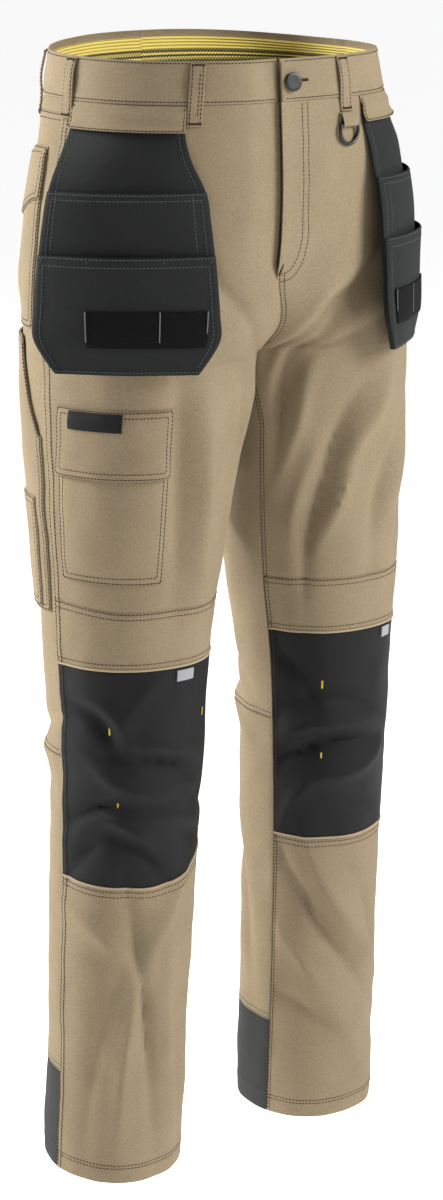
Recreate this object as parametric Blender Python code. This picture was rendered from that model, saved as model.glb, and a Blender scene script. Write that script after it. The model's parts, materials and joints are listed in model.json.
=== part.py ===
"""Work trousers, filled out as if worn and hung from the waist.

Metres, +Z up, the front faces -Y, the wearer's left is +X. The origin is the centre of the
waist rim. Each cut-and-sewn piece is a thin closed sheet on one shared lattice of points, so
that neighbours meet at a seam and whatever lies on a panel follows it.
"""
import math

import bmesh
import bpy
import numpy as np
from mathutils import Matrix, Vector

for leftover in list(bpy.data.objects):
    bpy.data.objects.remove(leftover, do_unlink=True)

# Driving sizes
WAIST_HEIGHT = 1.050          # waist rim above the hems, along the outseam
CROTCH_HEIGHT = 0.782
FRONT_RISE = 0.150            # height over which the front closes above the crotch
BACK_RISE = 0.185
RISE_CURVE = 1.6
CLOTH = 0.0012                # wall of one ply
WEBBING = 0.0016
WAISTBAND_OUT = 0.0008        # the waistband stands proud of the panels below it
WAISTBAND_IN = 0.0016
SEAM_GAP = 0.0003             # between two pieces that meet
LAY_GAP = 0.0004              # between a panel and what lies on it
POCKET_FULLNESS = 0.0026      # how far a patch pocket stands off in its middle
GIRTH = 0.55                  # one leg's girth, to turn a share of the ring into metres
INSEAM_SHARE = 0.045          # the inseam lies this far forward of the leg's inner side
FLY_SHIFT = -0.0205           # the fly edge lies on the wearer's right of the middle
BUTTON_RADIUS = 0.0085
BUTTON_PLACE = (0.0141, 1.029)
RING_WIRE = 0.0017
RING_WIDTH = 0.025
RING_DROP = 0.0185
HINGE_CLEARANCE = 0.0003
RING_PLACE = (0.114, 0.988)   # column and row of its bar, on the wearer's left front
TAB_HOLE = (RING_WIRE + HINGE_CLEARANCE) / math.cos(math.pi / 8)
TAB_OUTER = TAB_HOLE + 0.0010
RING_OUT = TAB_OUTER + 0.0004  # from the panel to the bar's middle line
TAB_WIDTH = 0.020
TAB_TOP = 0.0098              # above the bar, just below the belt loop

# Heights of the seams and pocket edges above the hem
HEEL_TOP, KNEE_BOTTOM, BACK_KNEE, KNEE_TOP, BAND_TOP = 0.099, 0.300, 0.415, 0.507, 0.560
BAG_BOTTOM, FLAP_BOTTOM, BAG_TOP, FLAP_TOP = 0.585, 0.683, 0.733, 0.745
YOKE_SEAM, WAIST_SEAM = 1.000, 1.012
BACK_POCKET_BOTTOM, BACK_FLAP_BOTTOM, BACK_FLAP_TOP = 0.808, 0.927, 0.969
TAB_LOW, TAB_HIGH = 0.4935, 0.5035      # the light tabs just under the knee's top seam
KNEE_TABS = ((-1, 0.215, 0.252), (1, 0.300, 0.328))    # side, first and last share

# Girth sections of each leg, from the hem up. Side -1 is the wearer's right.
# height, outer and inner x, y of the outer and the inner side, front and back y,
# roundness (2 is an ellipse) and how far the front hangs lower than the back per metre
SECTIONS = {
    -1: (
        (0.000, 0.186, 0.056, 0.002, 0.002, -0.062, 0.070, 2.1, 0.12),
        (0.120, 0.186, 0.054, -0.004, -0.006, -0.068, 0.060, 2.1, 0.12),
        (0.260, 0.186, 0.051, -0.010, -0.014, -0.078, 0.054, 2.1, 0.12),
        (0.380, 0.188, 0.047, -0.016, -0.018, -0.088, 0.052, 2.1, 0.06),
        (0.470, 0.190, 0.042, -0.018, -0.018, -0.094, 0.056, 2.1, 0.02),
        (0.560, 0.192, 0.030, -0.014, -0.018, -0.096, 0.066, 2.1, 0.00),
        (0.680, 0.192, 0.012, -0.004, -0.030, -0.104, 0.084, 2.15, 0.00),
        (0.782, 0.191, 0.0005, 0.002, -0.050, -0.112, 0.096, 2.2, 0.00),
        (0.860, 0.187, 0.0, 0.004, -0.050, -0.124, 0.104, 2.3, 0.00),
        (0.930, 0.179, 0.0, 0.002, -0.050, -0.128, 0.108, 2.35, 0.00),
        (0.990, 0.168, 0.0, 0.000, -0.050, -0.126, 0.110, 2.35, 0.01),
        (1.050, 0.157, 0.0, 0.000, -0.050, -0.122, 0.112, 2.3, 0.02),
    ),
    1: (
        (0.000, 0.184, 0.052, 0.002, 0.002, -0.064, 0.068, 2.1, 0.05),
        (0.120, 0.182, 0.050, -0.004, -0.006, -0.070, 0.062, 2.1, 0.06),
        (0.260, 0.180, 0.046, -0.010, -0.014, -0.080, 0.058, 2.1, 0.06),
        (0.380, 0.180, 0.040, -0.016, -0.018, -0.090, 0.054, 2.1, 0.04),
        (0.470, 0.182, 0.036, -0.018, -0.018, -0.094, 0.056, 2.1, 0.02),
        (0.560, 0.187, 0.024, -0.014, -0.018, -0.101, 0.066, 2.1, 0.00),
        (0.680, 0.195, 0.010, -0.004, -0.030, -0.108, 0.084, 2.15, 0.00),
        (0.782, 0.196, 0.0005, 0.002, -0.050, -0.112, 0.096, 2.2, 0.00),
        (0.860, 0.190, 0.0, 0.004, -0.050, -0.124, 0.104, 2.3, 0.00),
        (0.930, 0.180, 0.0, 0.002, -0.050, -0.128, 0.108, 2.35, 0.00),
        (0.990, 0.168, 0.0, 0.000, -0.050, -0.126, 0.110, 2.35, 0.01),
        (1.050, 0.157, 0.0, 0.000, -0.050, -0.122, 0.112, 2.3, 0.02),
    ),
}

# The lattice. A column is a share of the way round the leg: 0 at the inseam or the middle of
# the front, 0.5 at the outseam, 1 back at the inseam or the middle of the back.
COLUMNS = (
    0.0, 0.055, 0.105, 0.155, 0.210, 0.250, 0.290, 0.335, 0.385, 0.430, 0.475, 0.500,
    0.530, 0.570, 0.620, 0.680, 0.740, 0.800, 0.860, 0.920, 0.965, 1.0,
)
ROWS = (
    0.0, 0.050, HEEL_TOP, 0.150, 0.200, 0.250, KNEE_BOTTOM, 0.335, 0.375, BACK_KNEE, 0.460,
    KNEE_TOP, BAND_TOP, BAG_BOTTOM, 0.620, 0.652, FLAP_BOTTOM, 0.710, BAG_TOP, FLAP_TOP,
    0.765, CROTCH_HEIGHT, 0.790, BACK_POCKET_BOTTOM, 0.840, 0.875, 0.905, BACK_FLAP_BOTTOM,
    BACK_FLAP_TOP, YOKE_SEAM, WAIST_SEAM, WAIST_HEIGHT,
)

# Where a level line leaves its height: side (0 is both), height, reach above and below,
# share, spread and lift
LEVEL_LIFTS = (
    (0, WAIST_HEIGHT, 0.012, 0.036, 1.00, 0.46, 0.007),
    (0, YOKE_SEAM, 0.012, 0.140, 1.00, 0.42, -0.030),
    (-1, KNEE_BOTTOM, 0.090, 0.090, 0.05, 0.24, 0.022),
    (-1, BAND_TOP, 0.050, 0.052, 0.50, 0.16, 0.006),
)

# The largest folds: side, share, height, half length, half width, lean up from level in
# degrees, and how far the cloth stands out (a trough is negative)
FOLDS = (
    (-1, 0.10, 0.700, 0.110, 0.020, 62, 0.005),
    (-1, 0.17, 0.640, 0.100, 0.022, 58, -0.004),
    (-1, 0.22, 0.455, 0.060, 0.020, -22, 0.005),
    (-1, 0.30, 0.395, 0.070, 0.020, 20, -0.005),
    (-1, 0.25, 0.340, 0.080, 0.022, -14, 0.005),
    (-1, 0.24, 0.190, 0.120, 0.026, -62, 0.006),
    (-1, 0.36, 0.140, 0.110, 0.026, -66, -0.005),
    (-1, 0.66, 0.430, 0.080, 0.024, 14, -0.007),
    (-1, 0.74, 0.385, 0.080, 0.022, -10, 0.006),
    (-1, 0.88, 0.700, 0.090, 0.030, -60, 0.006),
    (1, 0.07, 0.690, 0.110, 0.022, -60, -0.007),
    (1, 0.13, 0.740, 0.110, 0.020, -52, 0.006),
    (1, 0.22, 0.640, 0.110, 0.028, -64, 0.004),
    (1, 0.18, 0.440, 0.070, 0.020, 18, 0.005),
    (1, 0.24, 0.380, 0.070, 0.022, -16, -0.005),
    (1, 0.20, 0.200, 0.120, 0.026, -60, 0.006),
    (1, 0.32, 0.150, 0.110, 0.026, -58, -0.005),
    (1, 0.66, 0.430, 0.080, 0.024, 14, -0.007),
    (1, 0.74, 0.385, 0.080, 0.022, -10, 0.006),
    (1, 0.88, 0.700, 0.090, 0.030, -60, 0.006),
)

# A hanging tool pouch is a board that leaves the hip: drop below the waist rim, width,
# distance out from the waist's centre, and how far its side edges curl back
BOARD_TURN = math.radians(41.5)     # which way the board faces, round from the front
BOARD_ACROSS = {-1: 0.0645, 1: 0.0525}    # its middle, towards the back from that direction
BOARD_INWARD = {-1: 0.0, 1: 0.004}  # the left one hangs closer to the leg
BOARD_COLUMNS = {-1: (0.210, 0.475), 1: (0.150, 0.415)}
BOARD = (
    (0.271, 0.124, 0.1800, 0.009),
    (0.256, 0.145, 0.1800, 0.010),
    (0.240, 0.162, 0.1795, 0.011),
    (0.218, 0.161, 0.1790, 0.012),
    (0.195, 0.158, 0.1780, 0.012),
    (0.167, 0.152, 0.1765, 0.013),
    (0.140, 0.145, 0.1740, 0.013),
    (0.113, 0.136, 0.1705, 0.014),
    (0.086, 0.122, 0.1660, 0.016),
)
BOARD_FOLLOWS = 0.005               # the last row is half the hip's own shape, this far out
BOARD_LEAVES_AT, BOARD_TOP = 0.990, 1.003
HIP_FLAP_BOTTOM = 0.9875
FLAP_FLARE = 0.0018
UPPER_POUCH_TOP, LOWER_POUCH_TOP, POUCH_BOTTOM = -0.113, -0.167, -0.271


def step(value):
    """A smooth rise from 0 to 1."""
    value = min(max(value, 0.0), 1.0)
    return value * value * (3 - 2 * value)


def section(side, height):
    """A leg's named sizes at one height, on a smooth curve through the table's rows."""
    table = np.array(SECTIONS[side])
    heights, sizes = table[:, 0], table[:, 1:]
    slopes = np.gradient(sizes, heights, axis=0)
    row = int(np.clip(np.searchsorted(heights, height) - 1, 0, len(heights) - 2))
    span = heights[row + 1] - heights[row]
    along = min(max((height - heights[row]) / span, 0.0), 1.0)
    rise = along * along * (3 - 2 * along)
    leave = span * along * (1 - along) ** 2
    arrive = span * along * along * (along - 1)
    return (sizes[row] * (1 - rise) + sizes[row + 1] * rise
            + slopes[row] * leave + slopes[row + 1] * arrive)


def rounded(value, power):
    """The power of a sine or cosine, keeping its sign."""
    return math.copysign(abs(value) ** power, value)


def leg_point(side, share, height):
    """A point of the smooth outer surface: the ring of one leg, joined above the crotch."""
    share = share - 1 if share > 1 else share
    outer, inner, outer_y, inner_y, front, back, roundness, dip = section(side, height)
    above = height - CROTCH_HEIGHT
    start = 0.0
    half = (outer - inner) / 2
    if above > 0:
        rise = FRONT_RISE if share <= 0.5 else BACK_RISE
        closed = 1 - (1 - min(above / rise, 1.0)) ** RISE_CURVE
        half = outer / (2 - closed)
        start = math.acos(min((outer - half) / half, 1.0) ** (roundness / 2))
    if share <= 0.5:
        turn = start + (math.pi - start) * share * 2
    else:
        turn = math.pi + (math.pi - start) * (share - 0.5) * 2
    x = outer - half - half * rounded(math.cos(turn), 2 / roundness)
    middle_y = inner_y if math.cos(turn) > 0 else outer_y
    depth = middle_y - front if math.sin(turn) >= 0 else back - middle_y
    y = middle_y - depth * rounded(math.sin(turn), 2 / roundness)
    fly = FLY_SHIFT * step(1 - share / 0.22) * step((height - 0.80) / 0.06)
    return np.array((side * x + fly, y, height + dip * (y - outer_y) - WAIST_HEIGHT))


def placed(side, share, height):
    """Where a lattice column and row run: seams bend, and the inseam lies forward."""
    lifted = height
    for which, level, above, below, middle, spread, lift in LEVEL_LIFTS:
        if which in (0, side):
            reach = above if height > level else below
            near = step(1 - abs(height - level) / reach)
            lifted += lift * near * step(1 - abs(share - middle) / spread)
    forward = INSEAM_SHARE * step((CROTCH_HEIGHT - height) / 0.08)
    if share < 0.155:
        share += forward * (1 - share / 0.155)
    elif share > 0.80:
        share += forward * (share - 0.80) / 0.20
    return share, lifted


def fold(side, share, height):
    """How far the folds carry the cloth out at this place."""
    out = 0.0
    for which, middle, level, length, width, lean, depth in FOLDS:
        if which == side:
            across, up = (share - middle) * GIRTH, height - level
            turn = math.radians(lean)
            along = across * math.cos(turn) + up * math.sin(turn)
            aside = up * math.cos(turn) - across * math.sin(turn)
            out += depth * math.exp(-((along / length) ** 2) - (aside / width) ** 2)
    return out


def cloth_point(side, column, row):
    """A point of the cloth and its outward normal."""
    share, height = placed(side, column, row)
    small = 0.004
    low, high = (0.0, 1.0) if height > CROTCH_HEIGHT else (-1.0, 2.0)
    before, after = max(share - small, low), min(share + small, high)
    before = before + 1 if before < 0 else before
    across = leg_point(side, after, height) - leg_point(side, before, height)
    upward = leg_point(side, share, height + small) - leg_point(side, share, height - small)
    normal = np.cross(across, upward) * side
    normal /= np.linalg.norm(normal)
    return leg_point(side, share, height) + normal * fold(side, share, height), normal


class Sheet:
    """A grid of cloth points with their outward normals, addressed by column and row."""

    def __init__(self, columns, rows, points, normals):
        self.columns = list(columns)
        self.rows = list(rows)
        self.points = np.array(points)
        self.normals = np.array(normals)

    def cut(self, left, right, low, high):
        """The part of the grid between two columns and two rows."""
        across = [k for k, c in enumerate(self.columns) if left - 1e-6 <= c <= right + 1e-6]
        up = [k for k, r in enumerate(self.rows) if low - 1e-6 <= r <= high + 1e-6]
        pick = np.ix_(up, across)
        return Sheet([self.columns[k] for k in across], [self.rows[k] for k in up],
                     self.points[pick], self.normals[pick])

    def at(self, column, row):
        """The point and normal on the grid's own triangles."""
        j = int(np.clip(np.searchsorted(self.columns, column) - 1, 0, len(self.columns) - 2))
        i = int(np.clip(np.searchsorted(self.rows, row) - 1, 0, len(self.rows) - 2))
        u = (column - self.columns[j]) / (self.columns[j + 1] - self.columns[j])
        v = (row - self.rows[i]) / (self.rows[i + 1] - self.rows[i])
        found = []
        for grid in (self.points, self.normals):
            low, low_next = grid[i, j], grid[i, j + 1]
            high, high_next = grid[i + 1, j], grid[i + 1, j + 1]
            if u >= v:
                found.append(low + u * (low_next - low) + v * (high_next - low_next))
            else:
                found.append(low + v * (high - low) + u * (high_next - high))
        return found[0], found[1] / np.linalg.norm(found[1])

    def moved(self, distance):
        """The same grid, moved out along its normals."""
        return Sheet(self.columns, self.rows, self.points + self.normals * distance,
                     self.normals)

    def over(self, left, right, low, high, rise=None, extra=()):
        """A grid that lies on this one, its edges where asked and its inner lines shared.

        low and high are rows, or functions of the column; rise is the stand-off in metres
        as a function of the column and the row; extra holds more inner rows.
        """
        columns = sorted({left, right, *(c for c in self.columns if left < c < right)})
        bottom = low if callable(low) else lambda column: low
        top = high if callable(high) else lambda column: high
        lowest = max(bottom(c) for c in columns)
        highest = max(top(c) for c in columns)
        inner = sorted(r for r in {*self.rows, *extra} if lowest + 1e-4 < r < highest - 1e-4)
        points, normals = [], []
        for level in (None, *inner, highest):
            line = []
            for column in columns:
                row = bottom(column)
                if level is not None:
                    row = lowest + (level - lowest) * (top(column) - lowest) / (highest - lowest)
                place, normal = self.at(column, row)
                lift = LAY_GAP + (rise(column, row) if rise else 0.0)
                line.append((place + normal * lift, normal))
            points.append([place for place, normal in line])
            normals.append([normal for place, normal in line])
        return Sheet(columns, [lowest, *inner, highest], points, normals)


def material(name, colour, roughness, metallic=0.0):
    """A plain material with the colour of its cloth or metal."""
    made = bpy.data.materials.new(name)
    made.use_nodes = True
    shader = made.node_tree.nodes["Principled BSDF"]
    shader.inputs["Base Color"].default_value = (*colour, 1.0)
    shader.inputs["Roughness"].default_value = roughness
    shader.inputs["Metallic"].default_value = metallic
    made.diffuse_color = (*colour, 1.0)
    return made


def add_object(name, bm, surface, smooth_angle=40):
    """Turns a bmesh into a named object under the waist."""
    bmesh.ops.recalc_face_normals(bm, faces=bm.faces[:])
    mesh = bpy.data.meshes.new(name)
    bm.to_mesh(mesh)
    bm.free()
    mesh.materials.append(surface)
    mesh.shade_smooth()
    mesh.set_sharp_from_angle(angle=math.radians(smooth_angle))
    made = bpy.data.objects.new(name, mesh)
    bpy.context.scene.collection.objects.link(made)
    made.parent = waist
    return made


def add_sheet(name, sheet, inside, outside, surface, gap=SEAM_GAP):
    """A closed sheet between two distances out from its grid, drawn in by half the gap."""
    points = sheet.points.copy()
    for edge, inner in ((0, 1), (-1, -2)):
        inward = points[inner] - points[edge]
        points[edge] += inward / np.linalg.norm(inward, axis=-1, keepdims=True) * gap / 2
    for edge, inner in ((0, 1), (-1, -2)):
        inward = points[:, inner] - points[:, edge]
        points[:, edge] += inward / np.linalg.norm(inward, axis=-1, keepdims=True) * gap / 2
    rows, columns = points.shape[:2]
    bm = bmesh.new()
    bmesh.ops.create_grid(bm, x_segments=columns - 1, y_segments=rows - 1, size=0.5)
    bmesh.ops.triangulate(bm, faces=bm.faces[:], quad_method="FIXED")
    number = bm.verts.layers.int.new("number")
    for index, vert in enumerate(bm.verts):
        vert[number] = index
    lifted = bmesh.ops.extrude_face_region(bm, geom=bm.faces[:])["geom"]
    raised = {item for item in lifted if isinstance(item, bmesh.types.BMVert)}
    inner_face = (points + sheet.normals * inside).reshape(-1, 3)
    outer_face = (points + sheet.normals * outside).reshape(-1, 3)
    for vert in bm.verts:
        vert.co = Vector((outer_face if vert in raised else inner_face)[vert[number]])
    rim = [face for face in bm.faces if len(face.verts) > 3]
    bmesh.ops.triangulate(bm, faces=rim, quad_method="FIXED")
    return add_object(name, bm, surface)


waist = bpy.data.objects.new("waist", None)
bpy.context.scene.collection.objects.link(waist)

khaki = material("khaki_twill", (0.36, 0.27, 0.17), 0.9)
canvas = material("charcoal_canvas", (0.035, 0.036, 0.038), 0.85)
heel_cloth = material("grey_heel_canvas", (0.06, 0.062, 0.065), 0.85)
tab_cloth = material("light_grey_tab", (0.45, 0.45, 0.44), 0.8)
label_cloth = material("black_label", (0.012, 0.012, 0.013), 0.7)
grip = material("yellow_elastic", (0.72, 0.55, 0.03), 0.75)
dark_metal = material("dark_metal", (0.10, 0.10, 0.105), 0.35, 1.0)

SIDE_NAMES = {-1: "right", 1: "left"}
lattice = {}
for side in SIDE_NAMES:
    nodes = [[cloth_point(side, column, row) for column in COLUMNS] for row in ROWS]
    lattice[side] = Sheet(COLUMNS, ROWS, [[place for place, normal in line] for line in nodes],
                          [[normal for place, normal in line] for line in nodes])

# Panels of the trousers: name, first and last column, low and high row, cloth
PANELS = (
    ("front", 0.0, 0.5, BAND_TOP, WAIST_SEAM, khaki),
    ("knee_band", 0.0, 0.5, KNEE_TOP, BAND_TOP, khaki),
    ("knee_panel", 0.0, 0.5, KNEE_BOTTOM, KNEE_TOP, canvas),
    ("shin", 0.0, 0.5, 0.0, KNEE_BOTTOM, khaki),
    ("back", 0.5, 1.0, BACK_KNEE, YOKE_SEAM, khaki),
    ("back_lower", 0.5, 1.0, HEEL_TOP, BACK_KNEE, khaki),
    ("heel_patch", 0.5, 1.0, 0.0, HEEL_TOP, heel_cloth),
    ("yoke", 0.5, 1.0, YOKE_SEAM, WAIST_SEAM, khaki),
)


def add_panels(side):
    """The panels of one leg and half of the waistband."""
    for name, left, right, low, high, cloth in PANELS:
        panel = lattice[side].cut(left, right, low, high)
        add_sheet(f"{name}_{SIDE_NAMES[side]}", panel, -CLOTH, 0.0, cloth)
    band = lattice[side].cut(0.0, 1.0, WAIST_SEAM, WAIST_HEIGHT)
    add_sheet(f"waistband_{SIDE_NAMES[side]}", band, -WAISTBAND_IN, WAISTBAND_OUT, khaki)
    strip = lattice[side].moved(-WAISTBAND_IN - LAY_GAP)
    points, normals = [], []
    for row in (1.018, 1.044):
        line = [strip.at(column, row) for column in COLUMNS[2:]]
        points.append([place for place, normal in line])
        normals.append([normal for place, normal in line])
    strip = Sheet(COLUMNS[2:], (1.018, 1.044), points, normals)
    add_sheet(f"waist_grip_{SIDE_NAMES[side]}", strip, -WEBBING, 0.0, grip)


def pocket_rise(left, right, low, high, fullness, top=0.0):
    """A patch pocket's stand-off: none at its sewn edges, full in the middle."""
    def rise(column, row):
        across = min(max((column - left) / (right - left), 0.0), 1.0)
        up = min(max((row - low) / (high - low), 0.0), 1.0)
        swell = math.sin(math.pi * across) ** 0.6
        climb = step(up / 0.25)
        near_top = 1 - (1 - top) * step((up - 0.6) / 0.4)
        return fullness * swell * climb * near_top
    return rise


def add_cargo_pocket():
    """The pocket on the wearer's right thigh, its flap and the blank label on the flap."""
    left, right = 0.290, 0.475
    rise = pocket_rise(left, right, BAG_BOTTOM, BAG_TOP, POCKET_FULLNESS, top=0.4)
    thigh = lattice[-1]
    bag = thigh.over(left, right, BAG_BOTTOM, BAG_TOP, rise)
    add_sheet("cargo_pocket", bag, 0.0, CLOTH, khaki)

    def over_bag(column, row):
        if row > BAG_TOP + 0.001:
            return 0.0
        return rise(column, row) + CLOTH + LAY_GAP

    flap = thigh.over(left, right, FLAP_BOTTOM, FLAP_TOP, over_bag)
    add_sheet("cargo_flap", flap, 0.0, CLOTH, khaki)
    label = flap.moved(CLOTH).over(0.368, 0.452, 0.726, 0.7425)
    add_sheet("cargo_label", label, 0.0, 0.0006, label_cloth)


def add_thigh_pockets():
    """Two flat tool pockets one over the other, behind the wearer's right outseam."""
    thigh = lattice[-1]
    left, right, low = 0.508, 0.740, 0.548

    def mouth(column):
        return 0.712 + 0.088 * step((column - left) / 0.062)

    def rise(column, row):
        across = min(max((column - left) / (right - left), 0.0), 1.0)
        return 0.0003 + 0.0016 * math.sin(math.pi * across) ** 0.6

    under = thigh.over(left, right, low, mouth, rise)
    add_sheet("tool_pocket", under, 0.0, CLOTH, khaki)

    def over_pocket(column, row):
        return rise(column, row) + CLOTH + LAY_GAP

    over = thigh.over(0.530, 0.680, low + 0.003, 0.656, over_pocket)
    add_sheet("ruler_pocket", over, 0.0, CLOTH, khaki)


def add_back_pocket(side):
    """A patch pocket on the seat with a pointed flap."""
    left, right = 0.530, 0.800
    low, high = BACK_POCKET_BOTTOM, BACK_FLAP_TOP - 0.006
    seat = lattice[side]
    rise = pocket_rise(left, right, low, high, POCKET_FULLNESS, top=0.3)
    bag = seat.over(left, right, low, high, rise)
    add_sheet(f"back_pocket_{SIDE_NAMES[side]}", bag, 0.0, CLOTH, khaki)

    def point(column):
        middle = (left + right) / 2
        return BACK_FLAP_BOTTOM - 0.004 - 0.018 * step(1 - abs(column - middle) / (right - middle))

    def over_bag(column, row):
        if row > high:
            return 0.0
        return rise(column, row) + CLOTH + LAY_GAP

    flap = seat.over(left, right, point, BACK_FLAP_TOP, over_bag, extra=(high,))
    add_sheet(f"back_flap_{SIDE_NAMES[side]}", flap, 0.0, CLOTH, khaki)


def board_sheet(side):
    """The hanging board of a tool pouch: from the hip under its flap, then out and down."""
    left, right = BOARD_COLUMNS[side]
    hip = lattice[side]
    columns = sorted({left, right, *(c for c in COLUMNS if left < c < right)})
    facing = np.array((side * math.sin(BOARD_TURN), -math.cos(BOARD_TURN), 0.0))
    across = np.array((side * math.cos(BOARD_TURN), math.sin(BOARD_TURN), 0.0))
    points, normals, rows = [], [], []
    for drop, width, out, curl in BOARD:
        line, facings = [], []
        for column in columns:
            along = 2 * (column - left) / (right - left) - 1
            place = facing * (out - BOARD_INWARD[side] - curl * along * along)
            place = place + across * (BOARD_ACROSS[side] + along * width / 2)
            line.append(place - np.array((0, 0, drop)))
            turned = facing + across * (4 * curl * along / width)
            facings.append(turned / np.linalg.norm(turned))
        points.append(line)
        normals.append(facings)
        rows.append(-drop)
    for number, column in enumerate(columns):
        place, normal = hip.at(column, WAIST_HEIGHT + rows[-1])
        points[-1][number] = (points[-1][number] + place + normal * BOARD_FOLLOWS) / 2
    for height in (BOARD_LEAVES_AT, BOARD_TOP):
        line = [hip.at(column, height) for column in columns]
        points.append([place + normal * (LAY_GAP + 0.0002) for place, normal in line])
        normals.append([normal for place, normal in line])
        rows.append(height - WAIST_HEIGHT)
    return Sheet(columns, rows, points, normals)


def add_tool_pouch(side):
    """A tool pouch that hangs at the hip under a khaki flap, open at the top."""
    name = SIDE_NAMES[side]
    board = board_sheet(side)
    left, right = BOARD_COLUMNS[side]
    add_sheet(f"holster_{name}", board, 0.0, WEBBING, canvas)
    layer = board.moved(WEBBING)
    for piece, top in (("upper_pouch", UPPER_POUCH_TOP), ("lower_pouch", LOWER_POUCH_TOP)):
        rise = pocket_rise(left, right, POUCH_BOTTOM, top, POCKET_FULLNESS, top=1.0)
        pouch = layer.over(left, right, POUCH_BOTTOM, top, rise)
        add_sheet(f"{piece}_{name}", pouch, 0.0, CLOTH, canvas)
        layer = pouch.moved(CLOTH)
    strap = layer.over(left + 0.019, left + 0.188, -0.246, -0.214)
    add_sheet(f"pouch_webbing_{name}", strap, 0.0, CLOTH, canvas)

    def over_board(column, row):
        if row > BOARD_TOP + 0.003:
            return 0.0
        return WEBBING + 2 * LAY_GAP + (FLAP_FLARE if row < BOARD_LEAVES_AT else 0.0)

    flap = lattice[side].over(left, right, HIP_FLAP_BOTTOM, WAIST_SEAM - 0.001, over_board,
                              extra=(BOARD_LEAVES_AT, BOARD_TOP + 0.002))
    add_sheet(f"hip_flap_{name}", flap, 0.0, CLOTH, khaki)


def add_belt_loop(name, side, column, width, low):
    """A belt loop across the waistband, standing off it in the middle."""
    half = width / 2 / GIRTH * 0.9
    above_panel = lattice[side]

    def rise(column, row):
        if row < WAIST_SEAM:
            return WAISTBAND_OUT if row > WAIST_SEAM - 0.004 else 0.0
        arch = math.sin(math.pi * (row - WAIST_SEAM) / (WAIST_HEIGHT - WAIST_SEAM))
        return WAISTBAND_OUT + 0.002 * max(arch, 0.0)

    columns = sorted({column - half, column + half,
                      *(c for c in COLUMNS if column - half < c < column + half)})
    rows = (low, WAIST_SEAM - 0.003, WAIST_SEAM + 0.012, WAIST_SEAM + 0.026, 1.0485)
    points, normals = [], []
    for row in rows:
        line = []
        for place in columns:
            spot, normal = above_panel.at(place, row)
            line.append((spot + normal * (LAY_GAP + rise(place, row)), normal))
        points.append([spot for spot, normal in line])
        normals.append([normal for spot, normal in line])
    add_sheet(name, Sheet(columns, rows, points, normals), 0.0, WEBBING, khaki)


def add_underlap(name, rows, depth):
    """A strip behind the front edge: from the wearer's right to behind the left side."""
    points, normals = [], []
    for row in rows:
        right, left = lattice[-1].at(0.035, row), lattice[1].at(0.055, row)
        edge_right, edge_left = lattice[-1].at(0.0, row), lattice[1].at(0.0, row)
        normal = edge_right[1] + edge_left[1]
        middle = (edge_right[0] + edge_left[0]) / 2, normal / np.linalg.norm(normal)
        spots = (right, middle, left)
        points.append([place - normal * (depth + LAY_GAP) for place, normal in spots])
        normals.append([normal for place, normal in spots])
    add_sheet(name, Sheet((0, 1, 2), rows, points, normals), -CLOTH, 0.0, khaki)


def facing_frame(place, normal):
    """A turned frame at a point of the cloth: X across, Y up it, Z out of it."""
    out = Vector(normal)
    across = Vector((0, 0, 1)).cross(out).normalized()
    up = out.cross(across)
    turned = Matrix((across, up, out)).transposed().to_4x4()
    turned.translation = Vector(place)
    return turned


def add_button():
    """The metal button at the waist: a low disc with a raised rim."""
    place, normal = lattice[1].at(*BUTTON_PLACE)
    profile = ((0.0, 0.0), (BUTTON_RADIUS - 0.001, 0.0), (BUTTON_RADIUS, 0.001),
               (BUTTON_RADIUS - 0.0006, 0.0028), (BUTTON_RADIUS - 0.0022, 0.0028),
               (BUTTON_RADIUS - 0.0032, 0.0018), (0.0, 0.0018))
    bm = bmesh.new()
    verts = [bm.verts.new((radius, 0.0, height)) for radius, height in profile]
    edges = [bm.edges.new(pair) for pair in zip(verts, verts[1:])]
    bmesh.ops.spin(bm, geom=verts + edges, cent=(0, 0, 0), axis=(0, 0, 1),
                   angle=math.tau, steps=20, use_merge=True)
    bmesh.ops.remove_doubles(bm, verts=bm.verts[:], dist=1e-6)
    button = add_object("waist_button", bm, dark_metal)
    seat = place + normal * (WAISTBAND_OUT + LAY_GAP)
    button.matrix_world = facing_frame(seat, normal)


def ring_path():
    """The middle line of the D-ring: a straight bar on X, then the bow hanging below it."""
    half, shoulder = RING_WIDTH / 2, 0.006
    bow = RING_DROP - shoulder
    path = [Vector((x, 0, 0)) for x in (-half, -half / 3, half / 3, half)]
    path += [Vector((half * math.cos(turn), -shoulder - bow * math.sin(turn), 0))
             for turn in (math.pi * k / 8 for k in range(9))]
    return path


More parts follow.
